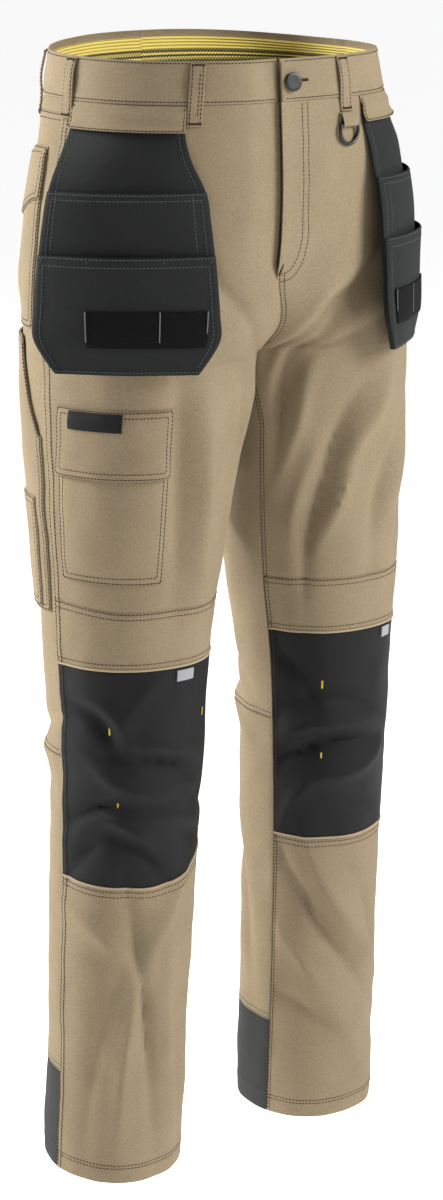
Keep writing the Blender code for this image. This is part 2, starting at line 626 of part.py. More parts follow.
def add_ring():
    """A D-ring that swings on its straight bar, held in a folded tab of webbing."""
    place, normal = lattice[1].at(*RING_PLACE)
    level = np.array((normal[0], normal[1], 0.0))
    level /= np.linalg.norm(level)
    frame = facing_frame(place + level * RING_OUT, level)
    out = Vector((0, 0, 1))
    path = ring_path()
    bm = bmesh.new()
    hoops = []
    for index, spot in enumerate(path):
        ahead = (path[(index + 1) % len(path)] - path[index - 1]).normalized()
        across = ahead.cross(out)
        hoops.append([bm.verts.new(spot + (across * math.cos(turn) + out * math.sin(turn))
                                   * RING_WIRE)
                      for turn in (math.tau * k / 8 for k in range(8))])
    for hoop, following in zip(hoops, hoops[1:] + hoops[:1]):
        for k in range(8):
            bm.faces.new((hoop[k], hoop[(k + 1) % 8], following[(k + 1) % 8], following[k]))
    add_object("d_ring", bm, dark_metal, 60).matrix_world = frame

    turns = [math.tau * (k + 0.5) / 8 for k in range(8)]
    hole = [Vector((0, TAB_HOLE * math.cos(t), TAB_HOLE * math.sin(t))) for t in turns]
    around = [Vector((0, TAB_OUTER * math.cos(t), TAB_OUTER * math.sin(t))) for t in turns]
    around[0] = Vector((0, TAB_TOP, -RING_OUT + LAY_GAP + WEBBING))
    around[-1] = Vector((0, TAB_TOP, -RING_OUT + LAY_GAP / 4))
    bm = bmesh.new()
    start = Vector((-TAB_WIDTH / 2, 0, 0))
    inner_line = [bm.verts.new(spot + start) for spot in hole]
    outer_line = [bm.verts.new(spot + start) for spot in around]
    for k in range(8):
        after = (k + 1) % 8
        bm.faces.new((inner_line[k], outer_line[k], outer_line[after], inner_line[after]))
    moved = bmesh.ops.extrude_face_region(bm, geom=bm.faces[:])["geom"]
    verts = [item for item in moved if isinstance(item, bmesh.types.BMVert)]
    bmesh.ops.translate(bm, verts=verts, vec=(TAB_WIDTH, 0, 0))
    add_object("d_ring_tab", bm, khaki).matrix_world = frame


for side in SIDE_NAMES:
    add_panels(side)
    add_back_pocket(side)
    add_tool_pouch(side)
add_cargo_pocket()
add_thigh_pockets()
fly_rows = [row for row in ROWS if 0.890 < row < WAIST_SEAM]
add_underlap("fly_shield", (*fly_rows, WAIST_SEAM - 0.001), CLOTH + LAY_GAP)
add_underlap("waistband_underlap", (WAIST_SEAM + 0.001, WAIST_HEIGHT - 0.003), WAISTBAND_IN)
add_button()
add_ring()
for name, side, column, width, low in (
    ("belt_loop_side_right", -1, 0.491, 0.014, 0.996),
    ("belt_loop_front_right", -1, 0.190, 0.022, 0.993),
    ("belt_loop_front_left", 1, 0.114, 0.014, 0.999),
    ("belt_loop_side_left", 1, 0.491, 0.014, 0.996),
    ("belt_loop_back_right", -1, 0.660, 0.014, 0.996),
    ("belt_loop_back_left", 1, 0.660, 0.014, 0.996),
    ("belt_loop_back_middle", 1, 0.970, 0.014, 0.996),
):
    add_belt_loop(name, side, column, width, low)
for side, left, right in KNEE_TABS:
    tab = lattice[side].over(left, right, TAB_LOW, TAB_HIGH)
    add_sheet(f"knee_tab_{SIDE_NAMES[side]}", tab, 0.0, CLOTH, tab_cloth)
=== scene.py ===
# %% [markdown]
# # Work trousers, filled out as if worn
# This lesson dresses a pair of work trousers: khaki twill, dark canvas knees, two hanging tool
# pouches and a metal ring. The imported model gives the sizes. Each cut piece is rebuilt as a fine
# thin sheet on the same form, with its creases, seams and stitches, and gets its cloth.

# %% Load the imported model
import json
import math

import bmesh
import bpy
import numpy as np
from mathutils import Matrix, Vector, noise


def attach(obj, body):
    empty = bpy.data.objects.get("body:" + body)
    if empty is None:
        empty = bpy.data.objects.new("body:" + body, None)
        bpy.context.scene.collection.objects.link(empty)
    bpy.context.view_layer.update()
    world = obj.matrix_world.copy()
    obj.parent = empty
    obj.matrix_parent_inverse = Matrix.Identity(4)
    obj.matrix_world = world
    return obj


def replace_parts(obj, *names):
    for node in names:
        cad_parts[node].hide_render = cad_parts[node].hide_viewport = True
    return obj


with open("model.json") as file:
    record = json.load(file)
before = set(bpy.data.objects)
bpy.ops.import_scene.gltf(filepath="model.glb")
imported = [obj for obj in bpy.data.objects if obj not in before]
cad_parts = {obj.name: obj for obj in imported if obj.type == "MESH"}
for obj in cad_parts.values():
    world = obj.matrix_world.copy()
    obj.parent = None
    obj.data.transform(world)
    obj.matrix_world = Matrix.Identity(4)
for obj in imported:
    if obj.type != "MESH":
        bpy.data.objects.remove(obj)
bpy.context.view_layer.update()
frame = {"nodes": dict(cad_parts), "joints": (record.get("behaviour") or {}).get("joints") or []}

print("packed nodes", len(frame["nodes"]))

# %% [markdown]
# ## The form
# Real trousers get their shape from the cut of their panels. Modelling the panels freehand would
# leave gaps at the seams, so one surface is described by girth sections, and every panel is a
# window on it. A place on it has three coordinates: the side (-1 is the wearer's right), the share
# of the way round the leg (0 inseam or middle front, 0.5 outseam, 1 inseam or middle back) and the
# height above the hem.

# %% Driving sizes, in metres
WAIST_HEIGHT = 1.050
CROTCH_HEIGHT = 0.782
FRONT_RISE, BACK_RISE, RISE_CURVE = 0.150, 0.185, 1.6
CLOTH, WEBBING = 0.0012, 0.0016
WAISTBAND_OUT, WAISTBAND_IN = 0.0008, 0.0016
SEAM_GAP, LAY_GAP, FELLED = 0.0003, 0.0004, 0.0008
GIRTH = 0.55
INSEAM_SHARE = 0.045
FLY_SHIFT = -0.0205
HEEL_TOP, KNEE_BOTTOM, BACK_KNEE, KNEE_TOP, BAND_TOP = 0.099, 0.300, 0.415, 0.507, 0.560
BAG_BOTTOM, FLAP_BOTTOM, BAG_TOP, FLAP_TOP = 0.585, 0.683, 0.733, 0.745
YOKE_SEAM, WAIST_SEAM = 1.000, 1.012
BACK_POCKET_BOTTOM, BACK_FLAP_BOTTOM, BACK_FLAP_TOP = 0.808, 0.927, 0.969
MESH_STEP = 0.005            # the size of one cell of the fine cloth
SIDE_NAMES = {-1: "right", 1: "left"}
print("waist", WAIST_HEIGHT, "m above the hems")

# %% The girth sections
# height, outer and inner x, y of the outer and the inner side, front and back y, roundness, and
# how far the front hangs lower than the back per metre
SECTIONS = {
    -1: (
        (0.000, 0.186, 0.056, 0.002, 0.002, -0.062, 0.070, 2.1, 0.12),
        (0.120, 0.186, 0.054, -0.004, -0.006, -0.068, 0.060, 2.1, 0.12),
        (0.260, 0.186, 0.051, -0.010, -0.014, -0.078, 0.054, 2.1, 0.12),
        (0.380, 0.188, 0.047, -0.016, -0.018, -0.088, 0.052, 2.1, 0.06),
        (0.470, 0.190, 0.042, -0.018, -0.018, -0.094, 0.056, 2.1, 0.02),
        (0.560, 0.192, 0.030, -0.014, -0.018, -0.096, 0.066, 2.1, 0.00),
        (0.680, 0.192, 0.012, -0.004, -0.030, -0.104, 0.084, 2.15, 0.00),
        (0.782, 0.191, 0.0005, 0.002, -0.050, -0.112, 0.096, 2.2, 0.00),
        (0.860, 0.187, 0.0, 0.004, -0.050, -0.124, 0.104, 2.3, 0.00),
        (0.930, 0.179, 0.0, 0.002, -0.050, -0.128, 0.108, 2.35, 0.00),
        (0.990, 0.168, 0.0, 0.000, -0.050, -0.126, 0.110, 2.35, 0.01),
        (1.050, 0.157, 0.0, 0.000, -0.050, -0.122, 0.112, 2.3, 0.02),
    ),
    1: (
        (0.000, 0.184, 0.052, 0.002, 0.002, -0.064, 0.068, 2.1, 0.05),
        (0.120, 0.182, 0.050, -0.004, -0.006, -0.070, 0.062, 2.1, 0.06),
        (0.260, 0.180, 0.046, -0.010, -0.014, -0.080, 0.058, 2.1, 0.06),
        (0.380, 0.180, 0.040, -0.016, -0.018, -0.090, 0.054, 2.1, 0.04),
        (0.470, 0.182, 0.036, -0.018, -0.018, -0.094, 0.056, 2.1, 0.02),
        (0.560, 0.187, 0.024, -0.014, -0.018, -0.101, 0.066, 2.1, 0.00),
        (0.680, 0.195, 0.010, -0.004, -0.030, -0.108, 0.084, 2.15, 0.00),
        (0.782, 0.196, 0.0005, 0.002, -0.050, -0.112, 0.096, 2.2, 0.00),
        (0.860, 0.190, 0.0, 0.004, -0.050, -0.124, 0.104, 2.3, 0.00),
        (0.930, 0.180, 0.0, 0.002, -0.050, -0.128, 0.108, 2.35, 0.00),
        (0.990, 0.168, 0.0, 0.000, -0.050, -0.126, 0.110, 2.35, 0.01),
        (1.050, 0.157, 0.0, 0.000, -0.050, -0.122, 0.112, 2.3, 0.02),
    ),
}
LEVEL_LIFTS = (
    (0, WAIST_HEIGHT, 0.012, 0.036, 1.00, 0.46, 0.007),
    (0, YOKE_SEAM, 0.012, 0.140, 1.00, 0.42, -0.030),
    (-1, KNEE_BOTTOM, 0.090, 0.090, 0.05, 0.24, 0.022),
    (-1, BAND_TOP, 0.050, 0.052, 0.50, 0.16, 0.006),
)


def step(value):
    """A smooth rise from 0 to 1."""
    value = np.clip(value, 0.0, 1.0)
    return value * value * (3 - 2 * value)


def section(side, height):
    """The leg's named sizes at these heights, on a smooth curve through the rows."""
    table = np.array(SECTIONS[side])
    heights, sizes = table[:, 0], table[:, 1:]
    slopes = np.gradient(sizes, heights, axis=0)
    row = np.clip(np.searchsorted(heights, height) - 1, 0, len(heights) - 2)
    span = (heights[row + 1] - heights[row])[..., None]
    along = np.clip((height - heights[row])[..., None] / span, 0.0, 1.0)
    rise = along * along * (3 - 2 * along)
    found = sizes[row] * (1 - rise) + sizes[row + 1] * rise
    found += slopes[row] * span * along * (1 - along) ** 2
    found += slopes[row + 1] * span * along * along * (along - 1)
    return np.moveaxis(found, -1, 0)


def leg_point(side, share, height):
    """Points of the smooth outer surface: the ring of one leg, joined above the crotch."""
    share = np.where(share > 1, share - 1, share)
    outer, inner, outer_y, inner_y, front, back, roundness, dip = section(side, height)
    above = height - CROTCH_HEIGHT
    rise = np.where(share <= 0.5, FRONT_RISE, BACK_RISE)
    closed = 1 - (1 - np.clip(above / rise, 0.0, 1.0)) ** RISE_CURVE
    half = np.where(above > 0, outer / (2 - closed), (outer - inner) / 2)
    lean = np.clip((outer - half) / half, 0.0, 1.0) ** (roundness / 2)
    start = np.where(above > 0, np.arccos(lean), 0.0)
    turn = np.where(share <= 0.5, start + (math.pi - start) * share * 2,
                    math.pi + (math.pi - start) * (share - 0.5) * 2)
    power = 2 / roundness
    cosine = np.sign(np.cos(turn)) * np.abs(np.cos(turn)) ** power
    sine = np.sign(np.sin(turn)) * np.abs(np.sin(turn)) ** power
    middle_y = np.where(np.cos(turn) > 0, inner_y, outer_y)
    depth = np.where(np.sin(turn) >= 0, middle_y - front, back - middle_y)
    y = middle_y - depth * sine
    fly = FLY_SHIFT * step(1 - share / 0.22) * step((height - 0.80) / 0.06)
    x = side * (outer - half - half * cosine) + fly
    return np.stack((x, y, height + dip * (y - outer_y) - WAIST_HEIGHT), axis=-1)


def placed(side, share, height):
    """Where level lines and the inseam run: seams bend, and the inseam lies forward."""
    lifted = height
    for which, level, above, below, middle, spread, lift in LEVEL_LIFTS:
        if which in (0, side):
            near = step(1 - np.abs(height - level) / np.where(height > level, above, below))
            lifted = lifted + lift * near * step(1 - np.abs(share - middle) / spread)
    forward = INSEAM_SHARE * step((CROTCH_HEIGHT - height) / 0.08)
    moved = np.where(share < 0.155, forward * (1 - share / 0.155), 0.0)
    moved = moved + np.where(share > 0.80, forward * (share - 0.80) / 0.20, 0.0)
    return share + moved, lifted


def form(side, share, height):
    """Points of the smooth form and their outward normals."""
    share, height = placed(side, np.asarray(share, float), np.asarray(height, float))
    small = 0.004
    whole = height > CROTCH_HEIGHT
    before = np.where(whole, np.maximum(share - small, 0.0), share - small)
    before = np.where(before < 0, before + 1, before)
    after = np.where(whole, np.minimum(share + small, 1.0), share + small)
    across = leg_point(side, after, height) - leg_point(side, before, height)
    upward = leg_point(side, share, height + small) - leg_point(side, share, height - small)
    normals = np.cross(across, upward) * side
    normals /= np.linalg.norm(normals, axis=-1, keepdims=True)
    return leg_point(side, share, height), normals


trial, trial_normal = form(-1, 0.3, 0.5)
print("a point on the right knee", trial.round(3), "facing", trial_normal.round(2))

# %% [markdown]
# ## Creases
# Filled-out trousers crease in known places: drag lines from the crotch, crumples at the knee and
# long soft folds down the shin. They could be painted into a normal map, but they change the
# outline and the light, so they are shaped here. Each row is one soft trough or ridge with its own
# length, width, lean and bend, and a slow noise keeps the cloth between them from looking ironed.

# %% The folds: side, share, height, half length, half width, lean, bend and how far out
FOLDS = (
    # the front of the right leg
    (-1, 0.268, 0.672, 0.105, 0.017, 86, 0.1, -0.0105),
    (-1, 0.225, 0.672, 0.095, 0.016, 84, 0.1, 0.0075),
    (-1, 0.165, 0.665, 0.080, 0.014, 76, -0.3, -0.0034),
    (-1, 0.110, 0.715, 0.070, 0.012, 64, 0.4, -0.0050),
    (-1, 0.080, 0.745, 0.050, 0.011, 52, 0.3, 0.0040),
    (-1, 0.200, 0.585, 0.040, 0.012, 50, 0.3, 0.0030),
    (-1, 0.405, 0.454, 0.030, 0.010, 38, 0.3, -0.0091),
    (-1, 0.372, 0.462, 0.030, 0.010, 40, 0.3, 0.0065),
    (-1, 0.330, 0.478, 0.036, 0.011, -48, 0.3, 0.0039),
    (-1, 0.239, 0.412, 0.060, 0.010, 17, 0.3, -0.0111),
    (-1, 0.250, 0.432, 0.052, 0.011, 14, 0.3, 0.0078),
    (-1, 0.345, 0.398, 0.048, 0.012, 16, -0.3, 0.0084),
    (-1, 0.412, 0.375, 0.034, 0.009, -16, 0.3, -0.0091),
    (-1, 0.340, 0.358, 0.040, 0.011, 26, 0.3, 0.0078),
    (-1, 0.309, 0.337, 0.034, 0.010, 33, 0.3, -0.0097),
    (-1, 0.430, 0.335, 0.040, 0.012, -40, 0.3, -0.0052),
    (-1, 0.215, 0.362, 0.040, 0.011, 24, 0.3, 0.0065),
    (-1, 0.180, 0.335, 0.036, 0.010, 36, -0.3, -0.0065),
    (-1, 0.120, 0.372, 0.040, 0.011, 16, 0.3, -0.0059),
    (-1, 0.285, 0.180, 0.120, 0.013, 79, 0.2, -0.0100),
    (-1, 0.383, 0.249, 0.056, 0.014, 31, 0.3, 0.0055),
    (-1, 0.328, 0.135, 0.085, 0.014, -82, 0.2, 0.0080),
    (-1, 0.252, 0.262, 0.045, 0.012, -60, 0.3, 0.0055),
    (-1, 0.225, 0.170, 0.100, 0.016, 84, -0.2, 0.0045),
    (-1, 0.395, 0.135, 0.090, 0.014, -76, 0.3, -0.0040),
    (-1, 0.175, 0.110, 0.080, 0.014, 78, 0.3, -0.0035),
    # the front of the left leg
    (1, 0.075, 0.746, 0.052, 0.011, 68, 0.2, -0.0110),
    (1, 0.112, 0.715, 0.060, 0.013, 66, -0.2, 0.0070),
    (1, 0.190, 0.695, 0.052, 0.012, 69, 0.2, -0.0115),
    (1, 0.141, 0.616, 0.058, 0.012, 72, 0.2, -0.0110),
    (1, 0.249, 0.711, 0.050, 0.013, 58, -0.2, 0.0100),
    (1, 0.193, 0.640, 0.052, 0.012, 69, -0.2, 0.0100),
    (1, 0.279, 0.645, 0.056, 0.012, 72, 0.3, -0.0090),
    (1, 0.330, 0.650, 0.050, 0.014, 68, -0.3, 0.0045),
    (1, 0.095, 0.630, 0.050, 0.013, 70, 0.3, 0.0045),
    (1, 0.372, 0.620, 0.045, 0.012, 60, 0.3, -0.0035),
    (1, 0.150, 0.840, 0.080, 0.016, 62, 0.5, -0.0050),
    (1, 0.100, 0.812, 0.050, 0.012, 50, 0.2, -0.0095),
    (1, 0.070, 0.826, 0.050, 0.012, 52, 0.2, 0.0060),
    (1, 0.140, 0.775, 0.046, 0.011, 48, 0.2, -0.0060),
    (1, 0.118, 0.792, 0.046, 0.011, 47, 0.2, 0.0050),
    (1, 0.070, 0.470, 0.040, 0.011, -30, 0.3, -0.0052),
    (1, 0.169, 0.441, 0.056, 0.012, -2, 0.3, -0.0065),
    (1, 0.165, 0.418, 0.060, 0.012, 4, 0.2, 0.0091),
    (1, 0.160, 0.393, 0.074, 0.010, 6, 0.3, -0.0117),
    (1, 0.230, 0.368, 0.050, 0.012, 12, -0.3, 0.0065),
    (1, 0.290, 0.425, 0.040, 0.012, -24, 0.3, -0.0052),
    (1, 0.100, 0.350, 0.044, 0.012, 30, 0.3, 0.0046),
    (1, 0.255, 0.335, 0.044, 0.012, -24, 0.3, -0.0046),
    (1, 0.172, 0.205, 0.105, 0.012, -45, 0.2, -0.0100),
    (1, 0.228, 0.215, 0.090, 0.014, -48, -0.2, 0.0085),
    (1, 0.125, 0.165, 0.070, 0.014, -36, 0.2, 0.0050),
    (1, 0.123, 0.118, 0.058, 0.012, -20, 0.3, -0.0060),
    (1, 0.300, 0.215, 0.070, 0.013, -60, 0.3, -0.0045),
    (1, 0.240, 0.090, 0.070, 0.014, -50, 0.3, 0.0035),
    # the hips and the back of both legs
    (1, 0.150, 0.830, 0.090, 0.016, 62, 0.5, -0.0058),
    (1, 0.230, 0.845, 0.080, 0.018, 66, -0.4, 0.0058),
    (-1, 0.120, 0.845, 0.070, 0.015, 66, 0.5, -0.0051),
    (-1, 0.590, 0.440, 0.060, 0.010, -24, 0.5, -0.0056),
    (-1, 0.660, 0.414, 0.070, 0.012, 8, -0.5, 0.0056),
    (-1, 0.745, 0.432, 0.060, 0.010, 20, 0.6, -0.0060),
    (-1, 0.700, 0.378, 0.060, 0.011, -16, 0.5, -0.0047),
    (-1, 0.800, 0.395, 0.050, 0.011, 26, -0.4, 0.0042),
    (-1, 0.880, 0.440, 0.050, 0.011, -30, 0.4, -0.0042),
    (-1, 0.640, 0.215, 0.100, 0.016, 70, 0.5, -0.0076),
    (-1, 0.740, 0.190, 0.110, 0.018, 78, -0.5, 0.0085),
    (-1, 0.850, 0.215, 0.100, 0.014, -72, 0.5, -0.0071),
    (-1, 0.870, 0.715, 0.090, 0.014, -58, 0.5, -0.0105),
    (-1, 0.815, 0.745, 0.080, 0.016, -54, -0.4, 0.0088),
    (-1, 0.900, 0.640, 0.080, 0.013, -66, -0.5, 0.0068),
    (-1, 0.790, 0.640, 0.070, 0.014, -62, 0.4, -0.0061),
    (-1, 0.900, 0.860, 0.060, 0.018, -30, 0.4, -0.0051),
    (1, 0.600, 0.436, 0.060, 0.010, -20, 0.5, -0.0056),
    (1, 0.670, 0.410, 0.070, 0.012, 10, -0.5, 0.0056),
    (1, 0.755, 0.430, 0.060, 0.010, 16, 0.6, -0.0058),
    (1, 0.710, 0.380, 0.060, 0.011, -18, 0.5, -0.0047),
    (1, 0.860, 0.420, 0.050, 0.010, -26, 0.4, 0.0045),
    (1, 0.905, 0.455, 0.050, 0.010, -34, 0.4, -0.0047),
    (1, 0.640, 0.225, 0.100, 0.016, 72, 0.5, -0.0076),
    (1, 0.730, 0.190, 0.110, 0.018, 80, -0.5, 0.0085),
    (1, 0.890, 0.240, 0.100, 0.014, -64, 0.5, -0.0082),
    (1, 0.860, 0.715, 0.090, 0.014, -56, 0.5, -0.0105),
    (1, 0.800, 0.745, 0.090, 0.016, -52, -0.4, 0.0088),
    (1, 0.690, 0.690, 0.090, 0.016, -60, 0.5, -0.0058),
    (1, 0.915, 0.640, 0.080, 0.013, -64, -0.5, 0.0075),
    (1, 0.900, 0.860, 0.060, 0.018, -32, 0.4, -0.0051),
)


PUCKER = 0.0007


def folds(side, share, height):
    """How far the creases carry the cloth out at these places."""
    out = np.zeros(np.shape(share))
    for which, middle, level, length, width, lean, bend, depth in FOLDS:
        if which == side:
            across, up = (share - middle) * GIRTH, height - level
            turn = math.radians(lean)
            along = (across * math.cos(turn) + up * math.sin(turn)) / length
            aside = (up * math.cos(turn) - across * math.sin(turn)) / width
            aside = aside + bend * along * along * 2
            ridge = np.exp(-1.7 * (np.sqrt(aside ** 2 + 0.10) - 0.316))
            out += depth * np.exp(-along ** 2) * ridge
    ends = step(share / 0.035) * step((1 - share) / 0.035)
    return out * ends


def slow_noise(points, size):
    """A smooth noise from -1 to 1 whose bumps are about this size in metres."""
    flat = points.reshape(-1, 3) / size
    return np.array([noise.noise(Vector(p)) for p in flat]).reshape(points.shape[:-1])


def calm(height):
    """Less fold near the waist, where the cloth is held."""
    return step((1.006 - height) / 0.10)


def cloth(side, share, height, still=0.0):
    """The creased cloth: points and normals. still, from 0 to 1, flattens the creases."""
    share, height = np.broadcast_arrays(np.asarray(share, float), np.asarray(height, float))
    points, normals = form(side, share, height)
    out = folds(side, share, height)
    out = out + 0.0020 * slow_noise(points * (1, 1, 0.6), 0.060)
    out = out + 0.0011 * slow_noise(points * (1, 1, 0.8), 0.024)
    out = out * calm(height) * (1 - still)
    out = out + 0.0009 * slow_noise(points * (1, 1, 2.0), 0.034) * (1 - calm(height))
    middle = np.minimum(share, 1 - share) * GIRTH
    out = out * step(middle / 0.014)
    seam = np.minimum(np.abs(share - 0.5) * GIRTH, middle)
    pucker = PUCKER * (0.2 + 0.8 * step(middle / 0.005))
    out = out + pucker * slow_noise(points, 0.009) * np.exp(-seam / 0.010)
    lapped = (0.5 - share) * GIRTH
    out = out + np.where(lapped >= 0, 0.0006 * (1 - step((lapped - 0.0072) / 0.002)), 0.0)
    fly = step((height - 0.85) / 0.02)
    if side > 0:
        out = out + fly * 0.0010 * (1 - step((share - 0.003) / 0.012))
    else:
        out = out - fly * 0.0050 * (1 - step(share / 0.060))
    return points + normals * out[..., None], normals


print(len(FOLDS), "folds")

# %% [markdown]
# ## Sheets of cloth
# A cut piece is a grid that lies on the form. Its cells are about 5 mm, with two narrow rows at
# every edge so that the edge can turn in softly, as a seam or a fold does. The wall is made by
# extruding the grid's faces, which keeps both faces of the cloth in one closed mesh.

# %% How a sheet is made
class Patch:
    """A grid of points with outward normals."""

    def __init__(self, points, normals):
        self.points, self.normals = points, normals

    def moved(self, lift):
        lift = np.broadcast_to(np.asarray(lift, float), self.points.shape[:-1])
        return Patch(self.points + self.normals * lift[..., None], self.normals)

    def measured(self):
        """Across and up places in metres, the largest width and length, and the area."""
        across = np.linalg.norm(np.diff(self.points, axis=1), axis=-1)
        upward = np.linalg.norm(np.diff(self.points, axis=0), axis=-1)
        one, two = np.diff(self.points, axis=1)[:-1], np.diff(self.points, axis=0)[:, :-1]
        area = np.linalg.norm(np.cross(one, two), axis=-1).sum()
        u = np.concatenate(([0], np.cumsum(across.mean(axis=0))))
        v = np.concatenate(([0], np.cumsum(upward.mean(axis=1))))
        return u, v, across.sum(axis=1).max(), upward.sum(axis=0).max(), area


def spread(length, cell=MESH_STEP, edge=0.0009):
    """Places from 0 to 1 along a sheet's side, close together at both ends."""
    count = max(int(round(length / cell)), 2)
    places = np.linspace(0, 1, count + 1)
    near = min(edge / length, 0.2 / count)
    return np.concatenate(([0, near, 3 * near], places[1:-1], [1 - 3 * near, 1 - near, 1]))


def edge_distance(patch):
    """How far each point of a grid is from its nearest edge, in metres."""
    u, v, *_ = patch.measured()
    across = np.minimum(u, u[-1] - u)[None, :]
    upward = np.minimum(v, v[-1] - v)[:, None]
    return np.minimum(across, upward)


def turned_in(patch, amount=0.0005, reach=0.0016, flat_edge=None):
    """The same sheet with its edges turned in a little. A felled edge, 0 or -1, stays flat."""
    near = edge_distance(patch)
    turn = amount * np.exp(-(near / reach) ** 2)
    if flat_edge is not None:
        across = patch.measured()[0]
        turn = turn * step(np.abs(across - across[flat_edge]) / 0.006)
    return patch.moved(-turn)


def add_mesh(name, bm, surface, body="trousers", smooth_angle=50):
    """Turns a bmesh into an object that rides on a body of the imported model."""
    mesh = bpy.data.meshes.new(name)
    bm.to_mesh(mesh)
    bm.free()
    mesh.materials.append(surface)
    mesh.shade_smooth()
    mesh.set_sharp_from_angle(angle=math.radians(smooth_angle))
    made = bpy.data.objects.new(name, mesh)
    bpy.context.scene.collection.objects.link(made)
    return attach(made, body)


def add_sheet(name, patch, inside, outside, surface, gap=SEAM_GAP,
              felled=None):
    """A closed cloth wall between two distances from its grid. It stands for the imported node.

    felled, 0 or -1, is the side edge that crosses its neighbour's above the crotch.
    """
    points = patch.points.copy()
    for edge, inner in ((0, 1), (-1, -2)):
        inward = points[inner] - points[edge]
        size = np.maximum(np.linalg.norm(inward, axis=-1, keepdims=True), 1e-6)
        points[edge] += inward / size * gap / 2
    for edge, inner in ((0, 1), (-1, -2)):
        inward = points[:, inner] - points[:, edge]
        size = np.maximum(np.linalg.norm(inward, axis=-1, keepdims=True), 1e-6)
        above = (points[:, edge, 2] > CROTCH_HEIGHT - WAIST_HEIGHT) & (felled == edge)
        points[:, edge] += inward / size * np.where(above, -FELLED, gap / 2)[:, None]
    rows, columns = points.shape[:2]
    u, v, width, length, area = patch.measured()
    bm = bmesh.new()
    bmesh.ops.create_grid(bm, x_segments=columns - 1, y_segments=rows - 1, size=0.5)
    number = bm.verts.layers.int.new("number")
    for index, vert in enumerate(bm.verts):
        vert[number] = index
    lifted = bmesh.ops.extrude_face_region(bm, geom=bm.faces[:])["geom"]
    raised = {item for item in lifted if isinstance(item, bmesh.types.BMVert)}
    inner_face = (points + patch.normals * inside).reshape(-1, 3)
    outer_face = (points + patch.normals * outside).reshape(-1, 3)
    flat = bm.loops.layers.uv.new("cloth")
    for vert in bm.verts:
        vert.co = Vector((outer_face if vert in raised else inner_face)[vert[number]])
    for face in bm.faces:
        for loop in face.loops:
            row, column = divmod(loop.vert[number], columns)
            loop[flat].uv = (u[column], v[row])
    bmesh.ops.recalc_face_normals(bm, faces=bm.faces[:])
    made = add_mesh(name, bm, surface)
    if name in frame["nodes"]:
        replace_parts(made, name)
    width, length = max(width, 0.01), max(length, 0.01)
    min(area, width * length)
    return made


print("a 0.2 m side gets", len(spread(0.2)), "rows")

# %% Windows on the form
def window(side, left, right, low, high, lift=0.0, cell=MESH_STEP, still=0.0):
    """A grid over part of the cloth. low and high may be functions of the share."""
    middle = (left + right) / 2
    low_of = low if callable(low) else (lambda share: np.full(np.shape(share), low))
    high_of = high if callable(high) else (lambda share: np.full(np.shape(share), high))
    tall = float(high_of(np.array(middle)) - low_of(np.array(middle)))
    share = (left + (right - left) * spread((right - left) * GIRTH, cell))[None, :]
    up = spread(tall, cell)[:, None]
    height = low_of(share) + (high_of(share) - low_of(share)) * up
    share = np.broadcast_to(share, height.shape)
    patch = Patch(*cloth(side, share, height, still))
    patch.share, patch.height = share, height
    return patch.moved(lift(share, height)) if callable(lift) else patch.moved(lift)


def swell(left, right, low, high, fullness, top=0.0):
    """A patch pocket's stand-off: none at its sewn edges, full in the middle."""
    def rise(share, height):
        across = np.clip((share - left) / (right - left), 0.0, 1.0)
        up = np.clip((height - low) / (high - low), 0.0, 1.0)
        near_top = 1 - (1 - top) * step((up - 0.6) / 0.4)
        return fullness * np.sin(np.pi * across) ** 0.6 * step(up / 0.25) * near_top
    return rise


print("a window of the right knee", window(-1, 0.1, 0.4, 0.35, 0.45).points.shape)

# %% [markdown]
# ## Cloth and metal
# Twill could be an image, but a picture stretches on turned pieces and loses its grain close up.
# The weave is worked out instead from each sheet's own flat places in metres, so its lines keep
# their true size on every panel. A small class writes the arithmetic as ordinary sums.

# %% A helper for shader arithmetic
class Signal:
    """One output of a shader node, with arithmetic that adds Math nodes."""

    def __init__(self, tree, socket):
        self.tree, self.socket = tree, socket

    def make(self, kind, settings=None, outputs=None, **inputs):
        """Adds a node: its settings first, then what its inputs hold."""
        node = self.tree.nodes.new(kind)
        for name, value in (settings or {}).items():
            setattr(node, name, value)
        for name, value in inputs.items():
            place = int(name[1:]) if name[0] == "n" and name[1:].isdigit() else name
            socket = node.inputs[place if isinstance(place, int) else place.replace("_", " ")]
            if isinstance(value, Signal):
                self.tree.links.new(value.socket, socket)
            else:
                socket.default_value = value
        return Signal(self.tree, node.outputs[outputs or 0])

    def sum(self, operation, first, second=0.0, third=0.0):
        return self.make("ShaderNodeMath", {"operation": operation}, n0=first, n1=second,
                         n2=third)

    def __add__(self, other):
        return self.sum("ADD", self, other)

    def __radd__(self, other):
        return self.sum("ADD", other, self)

    def __sub__(self, other):
        return self.sum("SUBTRACT", self, other)

    def __rsub__(self, other):
        return self.sum("SUBTRACT", other, self)

    def __mul__(self, other):
        return self.sum("MULTIPLY", self, other)

    def __rmul__(self, other):
        return self.sum("MULTIPLY", other, self)

    def __truediv__(self, other):
        return self.sum("DIVIDE", self, other)

    def wave(self):
        """A sine wave of this many turns."""
        return self.sum("SINE", self * math.tau)

    def clipped(self, low, high):
        """0 below low, 1 above high and a smooth step between."""
        return self.make("ShaderNodeMapRange", {"interpolation_type": "SMOOTHSTEP"},
                         n0=self, n1=low, n2=high, n3=0.0, n4=1.0)

    def between(self, first, second):
        """A colour from first to second as this goes from 0 to 1."""
        node = self.tree.nodes.new("ShaderNodeMix")
        node.data_type = "RGBA"
        self.tree.links.new(self.socket, node.inputs[0])
        for value, socket in ((first, node.inputs[6]), (second, node.inputs[7])):
            if isinstance(value, Signal):
                self.tree.links.new(value.socket, socket)
            else:
                socket.default_value = (*value, 1.0)
        return Signal(self.tree, node.outputs[2])


